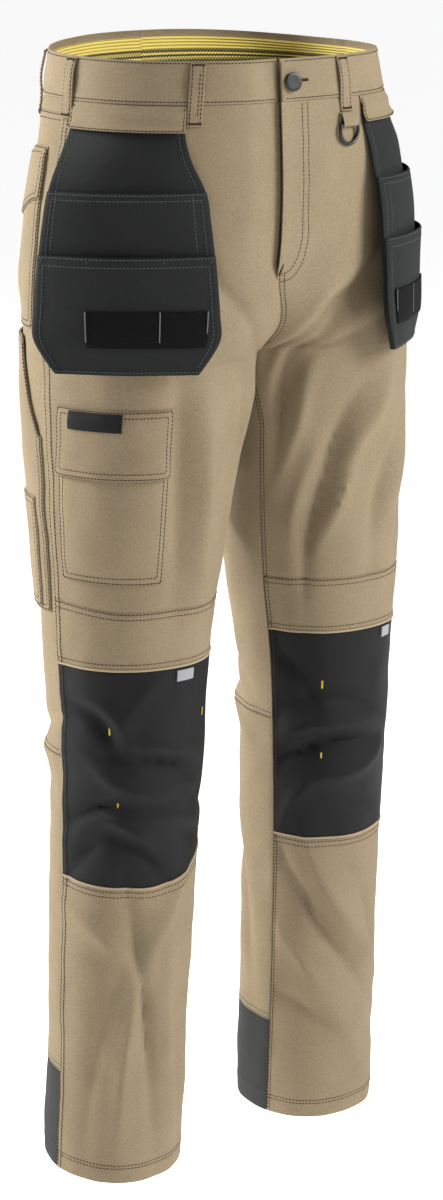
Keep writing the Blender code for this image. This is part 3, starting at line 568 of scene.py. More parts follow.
def start_material(name, colour, roughness, metallic=0.0, sheen=0.0):
    """A Principled material: returns it, its shader and a signal to build from."""
    made = bpy.data.materials.new(name)
    made.use_nodes = True
    tree = made.node_tree
    shader = tree.nodes["Principled BSDF"]
    shader.inputs["Base Color"].default_value = (*colour, 1.0)
    shader.inputs["Roughness"].default_value = roughness
    shader.inputs["Metallic"].default_value = metallic
    shader.inputs["Sheen Weight"].default_value = sheen
    shader.inputs["Specular IOR Level"].default_value = 0.5 if metallic else 0.22
    shader.inputs["Sheen Roughness"].default_value = 0.6
    if sum(colour) < 0.02:
        shader.inputs["Specular IOR Level"].default_value = 0.08
    made.diffuse_color = (*colour, 1.0)
    return made, shader, Signal(tree, None)


def woven(name, colour, dark, roughness, pitch, lean, depth, patchy, sheen=0.0):
    """A woven cloth: slanted ribs of this pitch in metres, flecks and slow unevenness."""
    made, shader, start = start_material(name, colour, roughness, sheen=sheen)
    flat = start.make("ShaderNodeUVMap", {"uv_map": "cloth"})
    parts = start.make("ShaderNodeSeparateXYZ", n0=flat)
    across = Signal(start.tree, parts.socket.node.outputs[0])
    upward = Signal(start.tree, parts.socket.node.outputs[1])
    place = start.make("ShaderNodeTexCoord", outputs="Object")
    wobble = start.make("ShaderNodeTexNoise", Vector=flat, Scale=220.0, Detail=2.0)
    ribs = ((across * lean + upward) / pitch + wobble * 0.25).wave()
    threads = ((across - upward * lean) / (pitch * 0.55)).wave()
    fleck = start.make("ShaderNodeTexNoise", Vector=flat, Scale=900.0, Detail=3.0,
                       Roughness=0.7)
    slow = start.make("ShaderNodeTexNoise", Vector=place, Scale=22.0, Detail=4.0,
                      Roughness=0.6)
    grain = start.make("ShaderNodeTexNoise", Vector=flat, Scale=330.0, Detail=2.0)
    shade = (fleck - 0.5) * 1.1 + (grain - 0.5) * 0.35 + ribs * 0.14 + threads * 0.05
    shade = shade + (slow - 0.5) * patchy + 0.55
    paint = shade.clipped(0.0, 1.0).between(dark, colour)
    start.tree.links.new(paint.socket, shader.inputs["Base Color"])
    height = ribs * 0.5 + threads * 0.25 + fleck * 0.8
    bump = start.make("ShaderNodeBump", Strength=0.6, Distance=depth, Height=height)
    start.tree.links.new(bump.socket, shader.inputs["Normal"])
    return made


khaki = woven("khaki_twill", (0.308, 0.242, 0.153), (0.148, 0.110, 0.062), 0.88, 0.0011, 1.0,
              0.00016, 0.30)
canvas = woven("charcoal_canvas", (0.015, 0.0165, 0.0155), (0.005, 0.006, 0.0055), 0.82, 0.0010,
               0.0, 0.00018, 0.30)
knee_cloth = woven("charcoal_knee", (0.0065, 0.0065, 0.0070), (0.0030, 0.0030, 0.0030), 0.68, 0.0012,
                   0.6, 0.00018, 0.40)
heel_cloth = woven("grey_heel_canvas", (0.038, 0.038, 0.037), (0.017, 0.017, 0.016), 0.85,
                   0.0012, 0.0, 0.00020, 0.35)
tab_cloth = woven("light_grey_tab", (0.32, 0.32, 0.33), (0.24, 0.24, 0.25), 0.8, 0.0009, 0.0,
                  0.00012, 0.2)
label_cloth = woven("black_label", (0.008, 0.008, 0.009), (0.003, 0.003, 0.004), 0.80, 0.0005,
                    0.0, 0.00005, 0.1)
webbing = woven("black_webbing", (0.005, 0.006, 0.005), (0.002, 0.002, 0.002), 0.75, 0.0018,
                0.0, 0.00030, 0.2)
piping = woven("khaki_piping", (0.37, 0.29, 0.19), (0.26, 0.20, 0.125), 0.85, 0.0009, 1.0,
               0.0001, 0.2)
brown_thread, *_ = start_material("brown_thread", (0.030, 0.018, 0.010), 0.7)
grey_thread, *_ = start_material("grey_thread", (0.045, 0.058, 0.062), 0.7)
pale_thread, *_ = start_material("pale_thread", (0.15, 0.155, 0.150), 0.7)
yellow_thread, *_ = start_material("yellow_thread", (0.60, 0.45, 0.06), 0.7)
black_thread, *_ = start_material("black_thread", (0.010, 0.010, 0.010), 0.7)
dark_metal, *_ = start_material("dark_metal", (0.050, 0.049, 0.050), 0.42, metallic=1.0)
print(len(bpy.data.materials), "materials")

# %% The yellow elastic
elastic, shader, start = start_material("yellow_elastic", (0.74, 0.56, 0.05), 0.7, sheen=0.2)
flat = start.make("ShaderNodeUVMap", {"uv_map": "cloth"})
parts = start.make("ShaderNodeSeparateXYZ", n0=flat)
across = Signal(start.tree, parts.socket.node.outputs[0])
upward = Signal(start.tree, parts.socket.node.outputs[1])
cord = (upward / 0.0026).wave()
zigzag = start.sum("PINGPONG", across, 0.0016)
dark_lines = None
for level in (0.0085, 0.0125, 0.0165):
    away = start.sum("ABSOLUTE", upward - level - zigzag * 0.9 + 0.0007)
    line = 1.0 - away.clipped(0.0008, 0.0014)
    dark_lines = line if dark_lines is None else start.sum("MAXIMUM", dark_lines, line)
yellow = (cord * 0.5 + 0.5).between((0.56, 0.43, 0.04), (0.80, 0.64, 0.16))
paint = dark_lines.between(yellow, (0.035, 0.028, 0.012))
start.tree.links.new(paint.socket, shader.inputs["Base Color"])
bump = start.make("ShaderNodeBump", Strength=0.8, Distance=0.0005, Height=cord)
start.tree.links.new(bump.socket, shader.inputs["Normal"])
print("the elastic has a cord every 2.6 mm")

# %% [markdown]
# ## Stitches
# A stitch is a small rounded grain of thread half sunk in the cloth. Painting stitches would be
# lighter, but they would lose their relief close up. One grain is made with a sphere and repeated
# along each line of sewing, and all grains of one thread on one side are joined as one mesh.

# %% Sewing lines
stitches = {}


def sew(thread, points, normals, pitch=0.0034, length=0.0031, width=0.00060, sink=0.00008):
    """Stitches of one thread along a line of points on the cloth."""
    gaps = np.linalg.norm(np.diff(points, axis=0), axis=1)
    along = np.concatenate(([0], np.cumsum(gaps)))
    count = max(int(along[-1] / pitch), 1)
    middles = (np.arange(count) + 0.5) * along[-1] / count
    for middle in middles:
        ends = [np.array([np.interp(t, along, points[:, k]) for k in range(3)])
                for t in (middle - length / 2, middle + length / 2)]
        out = np.array([np.interp(middle, along, normals[:, k]) for k in range(3)])
        out /= np.linalg.norm(out)
        ahead = ends[1] - ends[0]
        ahead /= max(np.linalg.norm(ahead), 1e-9)
        side = np.cross(out, ahead)
        place = (ends[0] + ends[1]) / 2 - out * sink
        stitches.setdefault(thread, []).append(
            (place, ahead * length / 2, side * width, np.cross(ahead, side) * width * 0.8))


def seam(thread, side, shares, heights, lift=0.0, points=60, **sewing):
    """A row of stitches on the cloth through these shares and heights."""
    t = np.linspace(0, 1, points)
    marks = np.linspace(0, 1, len(shares))
    share, height = np.interp(t, marks, shares), np.interp(t, marks, heights)
    found, normals = cloth(side, share, height)
    rise = lift(share, height) if callable(lift) else lift
    sew(thread, found + normals * np.broadcast_to(rise, share.shape)[:, None], normals,
        **sewing)


def share_at(side, away, height):
    """The share of the place this far from the centre front along the cloth."""
    trial = np.linspace(0.0, 0.12, 121)
    line = form(side, trial, np.full(trial.shape, height))[0]
    run = np.concatenate(([0], np.cumsum(np.linalg.norm(np.diff(line, axis=0), axis=1))))
    return np.interp(away, run, trial)


def line_on(thread, patch, inset, edges, **sewing):
    """Stitches at a distance inside the edges of a patch: of left, right, low and high."""
    u, v, *_ = patch.measured()
    rows, columns = np.arange(len(v)), np.arange(len(u))
    for edge in edges.split():
        name, _, shift = edge.partition("+")
        away = inset + (float(shift) / 1000 if shift else 0.0)
        if name in ("left", "right"):
            at = np.interp(away if name == "left" else u[-1] - away, u, columns)
            run = np.interp(np.linspace(inset, v[-1] - inset, 40), v, rows)
            picks = [(row, at) for row in run]
        else:
            at = np.interp(away if name == "low" else v[-1] - away, v, rows)
            run = np.interp(np.linspace(inset, u[-1] - inset, 60), u, columns)
            picks = [(at, column) for column in run]
        found = [(pick(patch.points, *p), pick(patch.normals, *p)) for p in picks]
        sew(thread, np.array([f[0] for f in found]), np.array([f[1] for f in found]), **sewing)


def pick(grid, row, column):
    """A value between the points of a grid."""
    r, c = min(int(row), len(grid) - 2), min(int(column), grid.shape[1] - 2)
    a, b = row - r, column - c
    return ((grid[r, c] * (1 - b) + grid[r, c + 1] * b) * (1 - a)
            + (grid[r + 1, c] * (1 - b) + grid[r + 1, c + 1] * b) * a)


def bartack(thread, place, normal, direction, length=0.008, width=0.0022):
    """A dense bar of thread: short stitches side by side across a line."""
    direction = np.array(direction, float)
    direction -= normal * (direction @ normal)
    direction /= np.linalg.norm(direction)
    across = np.cross(normal, direction)
    count = int(length / 0.0006)
    for k in range(count):
        spot = place + direction * (k / (count - 1) - 0.5) * length + normal * 0.0002
        stitches.setdefault(thread, []).append(
            (spot, across * width / 2, direction * 0.0004, normal * 0.0004))


print("threads: brown, grey, pale, yellow and black")

# %% [markdown]
# ## The panels
# Each leg has a front of four panels with a dark canvas knee, a back of three with a grey heel, a
# yoke, and half of the waistband. They could be one tube with a painted knee, but separate sheets
# give real seams, with a shallow valley where two turned edges meet.

# %% Cut the panels
PANELS = (
    ("front", 0.0, 0.5, BAND_TOP, WAIST_SEAM, khaki),
    ("knee_band", 0.0, 0.5, KNEE_TOP, BAND_TOP, khaki),
    ("knee_panel", 0.0, 0.5, KNEE_BOTTOM, KNEE_TOP, knee_cloth),
    ("shin", 0.0, 0.5, 0.0, KNEE_BOTTOM, khaki),
    ("back", 0.5, 1.0, BACK_KNEE, YOKE_SEAM, khaki),
    ("back_lower", 0.5, 1.0, HEEL_TOP, BACK_KNEE, khaki),
    ("heel_patch", 0.5, 1.0, 0.0, HEEL_TOP, heel_cloth),
    ("yoke", 0.5, 1.0, YOKE_SEAM, WAIST_SEAM, khaki),
)


def piped_edge(name, side, height):
    """A thin roll of light twill along a level seam of the front."""
    share = np.linspace(0.004, 0.496, 80)
    found, normals = cloth(side, share, np.full(share.shape, height))
    line = bpy.data.curves.new(name, "CURVE")
    line.dimensions, line.bevel_depth, line.bevel_resolution = "3D", 0.0011, 2
    line.use_fill_caps = True
    spline = line.splines.new("POLY")
    spline.points.add(len(found) - 1)
    places = found + normals * 0.0001
    spline.points.foreach_set("co", np.c_[places, np.ones(len(places))].ravel())
    loose = bpy.data.objects.new(name, line)
    mesh = bpy.data.meshes.new_from_object(loose)
    bpy.data.objects.remove(loose)
    mesh.name = name
    mesh.materials.clear()
    mesh.materials.append(piping)
    mesh.shade_smooth()
    made = bpy.data.objects.new(name, mesh)
    bpy.context.scene.collection.objects.link(made)
    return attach(made, "trousers")


for side, word in SIDE_NAMES.items():
    for name, left, right, low, high, surface in PANELS:
        rolls = ()
        if name == "knee_band":
            rolls = (piped_edge(f"knee_top_piping_{word}", side, KNEE_TOP),)
        if name == "shin":
            rolls = (piped_edge(f"knee_bottom_piping_{word}", side, KNEE_BOTTOM),)
        felled = {"front": 0, "back": -1}.get(name)
        panel = turned_in(window(side, left, right, low, high), flat_edge=felled)
        add_sheet(f"{name}_{word}", panel, -CLOTH, 0.0, surface, felled=felled)
    band = turned_in(window(side, 0.0, 1.0, WAIST_SEAM, WAIST_HEIGHT))
    add_sheet(f"waistband_{word}", band, -WAISTBAND_IN, WAISTBAND_OUT, khaki)
    strip = window(side, 0.105, 1.0, 1.018, 1.044, -WAISTBAND_IN - LAY_GAP)
    add_sheet(f"waist_grip_{word}", strip, -WEBBING, 0.0, elastic)
print("panels for both legs")

# %% Sew the long seams
MM = 0.001 / GIRTH
for side in SIDE_NAMES:
    for away in (1.8, 6.6):
        seam("brown", side, (0.5 - away * MM,) * 2, (0.003, WAIST_SEAM - 0.003), points=300)
        seam("brown", side, (away * MM,) * 2, (0.003, CROTCH_HEIGHT), points=240)
        seam("brown", side, (0.004, 0.496), (BAND_TOP - away / 1000,) * 2)
        seam("brown", side, (0.504, 0.998), (BACK_KNEE + away / 1000,) * 2, points=90)
        seam("grey", side, (0.504, 0.998), (HEEL_TOP + away / 1000,) * 2, points=90)
        seam("brown", side, (0.504, 0.998), (YOKE_SEAM - away / 1000,) * 2, points=90)
    seam("brown", side, (0.004, 0.496), (KNEE_TOP + 0.0055,) * 2, points=90)
    seam("brown", side, (0.004, 0.496), (KNEE_BOTTOM - 0.0040,) * 2, points=90)
    seam("brown", side, (0.004, 0.496), (KNEE_BOTTOM - 0.0088,) * 2, points=90)
    for level in (0.0150, 0.0182):
        seam("brown", side, (0.0, 0.5), (level,) * 2, points=90)
        seam("grey", side, (0.5, 1.0), (level,) * 2, points=90)
    for level in (WAIST_SEAM + 0.0024, WAIST_HEIGHT - 0.0024):
        seam("brown", side, (0.004, 0.998), (level,) * 2, WAISTBAND_OUT, points=160)
for away in (1.8, 6.6):
    seam("brown", 1, (away * MM,) * 2, (CROTCH_HEIGHT + 0.004, 0.858))
    seam("brown", 1, (1 - away * MM,) * 2, (CROTCH_HEIGHT + 0.004, YOKE_SEAM - 0.002))
turns = np.radians(np.linspace(0, 90, 12))
for outer, low in ((0.0235, 0.858), (0.0300, 0.851)):
    away = np.concatenate(([outer] * 10, 0.002 + (outer - 0.002) * np.cos(turns) ** 0.8))
    heights = np.concatenate((np.linspace(1.010, low + 0.048, 10),
                              low + 0.046 * (1 - np.sin(turns) ** 0.8)))
    shares = [share_at(1, *place) for place in zip(away, heights)]
    seam("brown", 1, shares, heights, points=140)
print(sum(len(v) for v in stitches.values()), "stitches so far")

# %% [markdown]
# ## Pockets and flaps
# A patch pocket is a sheet sewn on three sides, so it stands off in its middle and lies flat at
# its edges. It is made from the panel's own surface moved outward, which keeps it from cutting
# into the panel, and its flap is made from the pocket's surface in the same way.

# %% The cargo pocket on the right thigh
left, right = 0.290, 0.475
bag_rise = swell(left, right, BAG_BOTTOM, BAG_TOP, 0.0050, top=0.4)
bag = window(-1, left, right, BAG_BOTTOM, BAG_TOP, lambda s, h: LAY_GAP + bag_rise(s, h))
add_sheet("cargo_pocket", turned_in(bag), 0.0, CLOTH, khaki)


def over_bag(share, height):
    """The flap lies on the bag and comes down to the thigh above the bag's top edge."""
    on_bag = 1 - step((height - BAG_TOP) / 0.012)
    held = np.minimum(height, BAG_TOP)
    loose = 0.0024 * (1 - step((height - FLAP_BOTTOM) / 0.030))
    return LAY_GAP + loose + on_bag * (bag_rise(share, held) + CLOTH + LAY_GAP)


flap = window(-1, left, right, FLAP_BOTTOM, FLAP_TOP, over_bag, cell=0.003)
add_sheet("cargo_flap", turned_in(flap), 0.0, CLOTH, khaki)
label = window(-1, 0.368, 0.452, 0.726, 0.7425,
               lambda s, h: over_bag(s, h) + CLOTH + 1.8 * LAY_GAP, cell=0.002)
add_sheet("cargo_label", turned_in(label, 0.0002), 0.0, 0.0006, label_cloth)
line_on("brown", bag.moved(CLOTH), 0.0016, "left right low")
line_on("brown", bag.moved(CLOTH), 0.0064, "left right low")
line_on("brown", flap.moved(CLOTH), 0.0016, "left right low high")
line_on("brown", flap.moved(CLOTH), 0.0064, "left right low high")
line_on("black", label.moved(0.0006), 0.0009, "left right low high", pitch=0.0022, length=0.0016,
        width=0.00025)
print("cargo pocket", len(bag.points), "rows")

# %% The two flat pockets behind the right outseam
left, right, low = 0.508, 0.740, 0.548


def mouth(share):
    return 0.712 + 0.088 * step((share - 0.508) / 0.062)


def tool_rise(share, height):
    across = np.clip((share - 0.508) / 0.232, 0.0, 1.0)
    return LAY_GAP + 0.0003 + 0.0016 * np.sin(np.pi * across) ** 0.6


tool = window(-1, left, right, low, mouth, tool_rise)
add_sheet("tool_pocket", turned_in(tool), 0.0, CLOTH, khaki)
ruler = window(-1, 0.530, 0.680, low + 0.003, 0.656,
               lambda s, h: tool_rise(s, h) + CLOTH + LAY_GAP)
add_sheet("ruler_pocket", turned_in(ruler), 0.0, CLOTH, khaki)
for patch in (tool, ruler):
    for inset in (0.0016, 0.0064):
        line_on("brown", patch.moved(CLOTH), inset, "left right low high")
print("tool pocket", len(tool.points), "rows")

# %% The back pockets
left, right = 0.530, 0.800
low, high = BACK_POCKET_BOTTOM, BACK_FLAP_TOP - 0.006
seat_rise = swell(left, right, low, high, 0.0026, top=0.3)


def flap_edge(share):
    middle = (0.530 + 0.800) / 2
    return BACK_FLAP_BOTTOM - 0.004 - 0.018 * step(1 - np.abs(share - middle) / 0.135)


def over_seat_bag(share, height):
    on_bag = 1 - step((height - high) / 0.004)
    return LAY_GAP + on_bag * (seat_rise(share, np.minimum(height, high)) + CLOTH + LAY_GAP)


for side, word in SIDE_NAMES.items():
    bag = window(side, left, right, low, high, lambda s, h: LAY_GAP + seat_rise(s, h))
    add_sheet(f"back_pocket_{word}", turned_in(bag), 0.0, CLOTH, khaki)
    flap = window(side, left, right, flap_edge, BACK_FLAP_TOP, over_seat_bag)
    add_sheet(f"back_flap_{word}", turned_in(flap), 0.0, CLOTH, khaki)
    for inset in (0.0016, 0.0064):
        line_on("brown", bag.moved(CLOTH), inset, "left right low")
        line_on("brown", flap.moved(CLOTH), inset, "left right low high")
print("two back pockets")

# %% [markdown]
# ## The hanging tool pouches
# Each pouch is a stiff board of canvas that comes out from under a hip flap and hangs free, with
# two open pockets sewn on it and a band of webbing. The board could be a flat plate, but the real
# one curls round the thigh, so its rows are curved, and run smoothly from the hip's own shape.

# %% The board's rows: drop below the waist, width, distance out and curl
BOARD_TURN = math.radians(41.5)
BOARD_ACROSS = {-1: 0.0645, 1: 0.0525}
BOARD_INWARD = {-1: 0.0, 1: 0.004}
BOARD_SPAN = {-1: (0.210, 0.475), 1: (0.150, 0.415)}
BOARD = (
    (0.271, 0.124, 0.1800, 0.009), (0.256, 0.145, 0.1800, 0.010),
    (0.240, 0.162, 0.1795, 0.011), (0.218, 0.161, 0.1790, 0.012),
    (0.195, 0.158, 0.1780, 0.012), (0.167, 0.152, 0.1765, 0.013),
    (0.140, 0.145, 0.1740, 0.013), (0.113, 0.136, 0.1705, 0.014),
    (0.086, 0.122, 0.1660, 0.016),
)
BOARD_FOLLOWS, BOARD_LEAVES_AT, BOARD_TOP = 0.005, 0.990, 1.003
UPPER_POUCH_TOP, LOWER_POUCH_TOP, POUCH_BOTTOM = -0.113, -0.167, -0.271
HIP_FLAP_BOTTOM, FLAP_FLARE = 0.9875, 0.0042


def board(side, left, right, low, high, lift=0.0, cell=MESH_STEP, rim=0.0):
    """A grid on the board. left and right run from 0 to 1, low and high are below the waist."""
    across = left + (right - left) * spread((right - left) * 0.15, cell)
    along = across * 2 - 1
    first, last = BOARD_SPAN[side]
    share = first + across * (last - first)
    facing = np.array((side * math.sin(BOARD_TURN), -math.cos(BOARD_TURN), 0.0))
    sideways = np.array((side * math.cos(BOARD_TURN), math.sin(BOARD_TURN), 0.0))
    points, normals, rows = [], [], []
    for drop, width, out, curl in BOARD:
        line = facing * (out - BOARD_INWARD[side] - curl * along ** 2)[:, None]
        line = line + sideways * (BOARD_ACROSS[side] + along * width / 2)[:, None]
        line[:, 2] -= drop
        turned = facing + sideways * (4 * curl * along / width)[:, None]
        points.append(line)
        normals.append(turned / np.linalg.norm(turned, axis=1, keepdims=True))
        rows.append(-drop)
    hip, hip_normals = form(side, share, np.full(share.shape, WAIST_HEIGHT + rows[-1]))
    points[-1] = (points[-1] + hip + hip_normals * BOARD_FOLLOWS) / 2
    for height in (BOARD_LEAVES_AT, BOARD_TOP):
        hip, hip_normals = cloth(side, share, np.full(share.shape, height))
        points.append(hip + hip_normals * (LAY_GAP + 0.0002))
        normals.append(hip_normals)
        rows.append(height - WAIST_HEIGHT)
    rows, points, normals = np.array(rows), np.array(points), np.array(normals)
    wanted = low + (high - low) * spread(high - low, cell)
    slopes = np.gradient(points, rows, axis=0)
    row = np.clip(np.searchsorted(rows, wanted) - 1, 0, len(rows) - 2)
    span = (rows[row + 1] - rows[row])[:, None, None]
    t = np.clip((wanted - rows[row])[:, None, None] / span, 0.0, 1.0)
    smooth = t * t * (3 - 2 * t)
    found = points[row] * (1 - smooth) + points[row + 1] * smooth
    found += slopes[row] * span * t * (1 - t) ** 2 + slopes[row + 1] * span * t * t * (t - 1)
    facings = normals[row] * (1 - t) + normals[row + 1] * t
    facings /= np.linalg.norm(facings, axis=-1, keepdims=True)
    free = step((-0.070 - wanted) / 0.03)[:, None]
    found += facings * (free * 0.0022 * slow_noise(found, 0.055))[..., None]
    bound = np.minimum(across, 1 - across)[None, :] * 0.15
    found += facings * (rim * (1 - step((bound - 0.0062) / 0.0016)))[..., None]
    patch = Patch(found, facings)
    grid = np.meshgrid(across, wanted)
    return patch.moved(lift(*grid) if callable(lift) else lift)


def pouch_swell(top, fullness, lip):
    """A pouch stands off the board, and its mouth a little more."""
    def rise(across, level):
        up = np.clip((level - POUCH_BOTTOM) / (top - POUCH_BOTTOM), 0.0, 1.0)
        round_ = np.clip(np.sin(np.pi * np.clip(across, 0, 1)), 0, 1) ** 0.6
        return round_ * (fullness * step(up / 0.25) + lip * step((up - 0.5) / 0.5))
    return rise


upper_swell = pouch_swell(UPPER_POUCH_TOP, 0.0026, 0.0024)
lower_swell = pouch_swell(LOWER_POUCH_TOP, 0.0026, 0.0024)


def upper_lift(across, level):
    return WEBBING + LAY_GAP + upper_swell(across, level)


def lower_lift(across, level):
    return upper_lift(across, level) + CLOTH + LAY_GAP + lower_swell(across, level)


def strap_lift(across, level):
    return lower_lift(across, level) + CLOTH + LAY_GAP


print("the board has", len(BOARD), "measured rows")

# %% Make the pouches
for side, word in SIDE_NAMES.items():
    plate = board(side, 0, 1, POUCH_BOTTOM, BOARD_TOP - WAIST_HEIGHT, cell=0.004, rim=0.0007)
    add_sheet(f"holster_{word}", turned_in(plate), 0.0, WEBBING, canvas)
    upper = board(side, 0, 1, POUCH_BOTTOM, UPPER_POUCH_TOP, upper_lift, cell=0.004, rim=0.0007)
    add_sheet(f"upper_pouch_{word}", turned_in(upper), 0.0, CLOTH, canvas)
    lower = board(side, 0, 1, POUCH_BOTTOM, LOWER_POUCH_TOP, lower_lift, cell=0.004, rim=0.0007)
    add_sheet(f"lower_pouch_{word}", turned_in(lower), 0.0, CLOTH, canvas)
    strap = board(side, 0.072, 0.709, -0.246, -0.214, strap_lift)
    add_sheet(f"pouch_webbing_{word}", turned_in(strap, 0.0003), 0.0, CLOTH, webbing)
    line_on("grey", plate.moved(WEBBING), 0.0078, "left right")
    for patch, second in ((upper, 0.0068), (lower, 0.0088)):
        for inset in (0.0018, second):
            line_on("grey", patch.moved(CLOTH), inset, "high")
        line_on("grey", patch.moved(CLOTH), 0.0074, "left right")
        line_on("grey", patch.moved(CLOTH), 0.0030, "low")
    for share in (0.10, 0.93):
        top, low = UPPER_POUCH_TOP - 0.002, LOWER_POUCH_TOP + 0.002
        strip = board(side, share - 0.01, share + 0.01, low, top, upper_lift)
        line_on("grey", strip.moved(CLOTH), 0.0015, "left")
    face = lower.moved(CLOTH)
    rows, columns = face.points.shape[:2]
    for share in (0.075, 0.31, 0.685, 0.925):
        run = np.linspace(rows - 2.5, rows - 4.8, 12)
        places = [(r, share * (columns - 1)) for r in run]
        sew("grey", np.array([pick(face.points, *p) for p in places]),
            np.array([pick(face.normals, *p) for p in places]))
    face = strap.moved(CLOTH)
    rows, columns = face.points.shape[:2]
    for share in (0.03, 0.41, 0.97):
        middle = (rows / 2, share * (columns - 1))
        upward = pick(face.points, rows - 2, middle[1]) - pick(face.points, 1, middle[1])
        bartack("pale", pick(face.points, *middle), pick(face.normals, *middle), upward, 0.026,
                0.0013)
print("two pouches")

# %% The hip flaps
def over_board(share, height):
    clear = 1 - step((height - BOARD_TOP - 0.001) / 0.004)
    flare = step((BOARD_LEAVES_AT + 0.006 - height) / 0.012)
    return LAY_GAP + clear * (WEBBING + 2 * LAY_GAP) + flare * FLAP_FLARE


for side, word in SIDE_NAMES.items():
    flap = window(side, *BOARD_SPAN[side], HIP_FLAP_BOTTOM, WAIST_SEAM - 0.001, over_board,
                  cell=0.004)
    add_sheet(f"hip_flap_{word}", turned_in(flap), 0.0, CLOTH, khaki)
    line_on("brown", flap.moved(CLOTH), 0.0018, "left right low")
print("two hip flaps")

# %% [markdown]
# ## Belt loops, tabs and the fly
# Belt loops are straps sewn at their ends, so they arch off the waistband and let a belt through.
# They follow the same surface with a lift that is largest in the middle.

# %% Belt loops
def loop_lift(share, height):
    start = step((height - WAIST_SEAM + 0.006) / 0.005)
    arch = np.sin(np.pi * np.clip((height - WAIST_SEAM) / (WAIST_HEIGHT - WAIST_SEAM), 0, 1))
    return LAY_GAP + WAISTBAND_OUT * start + 0.002 * arch


LOOPS = (
    ("belt_loop_side_right", -1, 0.491, 0.014, 0.996),
    ("belt_loop_front_right", -1, 0.190, 0.022, 0.993),
    ("belt_loop_front_left", 1, 0.114, 0.014, 0.999),
    ("belt_loop_side_left", 1, 0.491, 0.014, 0.996),
    ("belt_loop_back_right", -1, 0.660, 0.014, 0.996),
    ("belt_loop_back_left", 1, 0.660, 0.014, 0.996),
    ("belt_loop_back_middle", 1, 0.970, 0.014, 0.996),
)
for name, side, column, width, low in LOOPS:
    half = width / 2 / GIRTH * 0.9
    strap = window(side, column - half, column + half, low, 1.0485, loop_lift, cell=0.003)
    add_sheet(name, turned_in(strap, 0.0004, 0.0012), 0.0, WEBBING, khaki)
    face = strap.moved(WEBBING)
    line_on("brown", face, 0.0022, "left right")
    if width > 0.02:
        line_on("brown", face, 0.0090, "right")
    rows, columns = face.points.shape[:2]
    chord = face.points[2, -1] - face.points[2, 0]
    for row in (2.6, rows - 3.2):
        spot, out = pick(face.points, row, columns / 2 - 0.5), pick(face.normals, row, 3)
        bartack("brown", spot, out, chord, 0.8 * np.linalg.norm(chord))
print(len(LOOPS), "belt loops")

# %% Knee tabs and bartacks
for side, left, right in ((-1, 0.215, 0.252), (1, 0.300, 0.328)):
    tab = window(side, left, right, 0.4935, 0.5036, LAY_GAP, cell=0.003)
    add_sheet(f"knee_tab_{SIDE_NAMES[side]}", turned_in(tab, 0.0002), 0.0, CLOTH, tab_cloth)
TACKS = ((-1, 0.387, 0.449), (-1, 0.365, 0.380), (-1, 0.166, 0.457), (1, 0.158, 0.455),
         (1, 0.158, 0.383))
for side, share, height in TACKS:
    spot, out = cloth(side, np.array([share]), np.array([height]))
    bartack("yellow", spot[0] + out[0] * 0.0005, out[0], (0, 0, 1), 0.007)
spot, out = cloth(1, np.array([0.004]), np.array([0.862]))
bartack("brown", spot[0], out[0], (0.3, 0, 1), 0.010)
print("tabs and", len(TACKS), "bartacks")

# %% The strips behind the front edge
def underlap(name, low, high, depth):
    """A strip from the wearer's right to behind the left side, hidden under the fly edge."""
    rows = np.linspace(low, high, max(int((high - low) / 0.006), 3))
    lines = []
    for side, share in ((-1, 0.035), (-1, 0.018), (0, 0.0), (1, 0.028), (1, 0.055)):
        if side:
            lines.append(form(side, np.full(rows.shape, share), rows))
        else:
            one, two = (form(s, np.zeros(rows.shape), rows) for s in (-1, 1))
            middle = one[1] + two[1]
            middle /= np.linalg.norm(middle, axis=-1, keepdims=True)
            lines.append(((one[0] + two[0]) / 2, middle))
    patch = Patch(np.stack([line[0] for line in lines], axis=1),
                  np.stack([line[1] for line in lines], axis=1))
    return add_sheet(name, patch.moved(-depth - LAY_GAP), -CLOTH, 0.0, khaki)


underlap("fly_shield", 0.905, WAIST_SEAM - 0.001, CLOTH + LAY_GAP + 0.0052)
underlap("waistband_underlap", WAIST_SEAM + 0.001, WAIST_HEIGHT - 0.003, WAISTBAND_IN + 0.0052)
print("fly shield and underlap")

# %% [markdown]
# ## Metal
# The button is a turned profile and the ring is a bent wire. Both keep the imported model's size
# and place. The ring rides on its own body, because it swings on its straight bar.

# %% Button
def turned_frame(place, out):
    """X across, Y up and Z out of the cloth."""
    out = Vector(out)
    across = Vector((0, 0, 1)).cross(out).normalized()
    turned = Matrix((across, out.cross(across), out)).transposed().to_4x4()
    turned.translation = Vector(place)
    return turned


spot, out = cloth(1, np.array([0.0141]), np.array([1.029]))
seat = turned_frame(spot[0] + out[0] * (WAISTBAND_OUT + LAY_GAP), out[0])
profile = ((0.0, 0.0), (0.0026, 0.0), (0.0028, 0.0008), (0.0074, 0.0010), (0.0082, 0.0013),
           (0.0085, 0.0019), (0.0083, 0.0025), (0.0076, 0.0028), (0.0055, 0.0028),
           (0.0020, 0.0027), (0.0, 0.0027))
bm = bmesh.new()
verts = [bm.verts.new((radius, 0.0, height)) for radius, height in profile]
edges = [bm.edges.new(pair) for pair in zip(verts, verts[1:])]
bmesh.ops.spin(bm, geom=verts + edges, cent=(0, 0, 0), axis=(0, 0, 1), angle=math.tau,
               steps=48, use_merge=True)
bmesh.ops.remove_doubles(bm, verts=bm.verts[:], dist=1e-6)
bmesh.ops.recalc_face_normals(bm, faces=bm.faces[:])
tilt = Matrix.Rotation(math.radians(-9), 4, "Y")
bmesh.ops.transform(bm, matrix=seat @ Matrix.Translation((0, 0, 0.0010)) @ tilt,
                    verts=bm.verts[:])
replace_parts(add_mesh("turned_button", bm, dark_metal), "waist_button")
spot, out = cloth(1, np.array([0.0345]), np.array([1.030]))
bartack("brown", spot[0] + out[0] * WAISTBAND_OUT, out[0], (1, 0, 0), 0.011, 0.0030)
print("button", round(profile[5][0] * 2000, 1), "mm across")

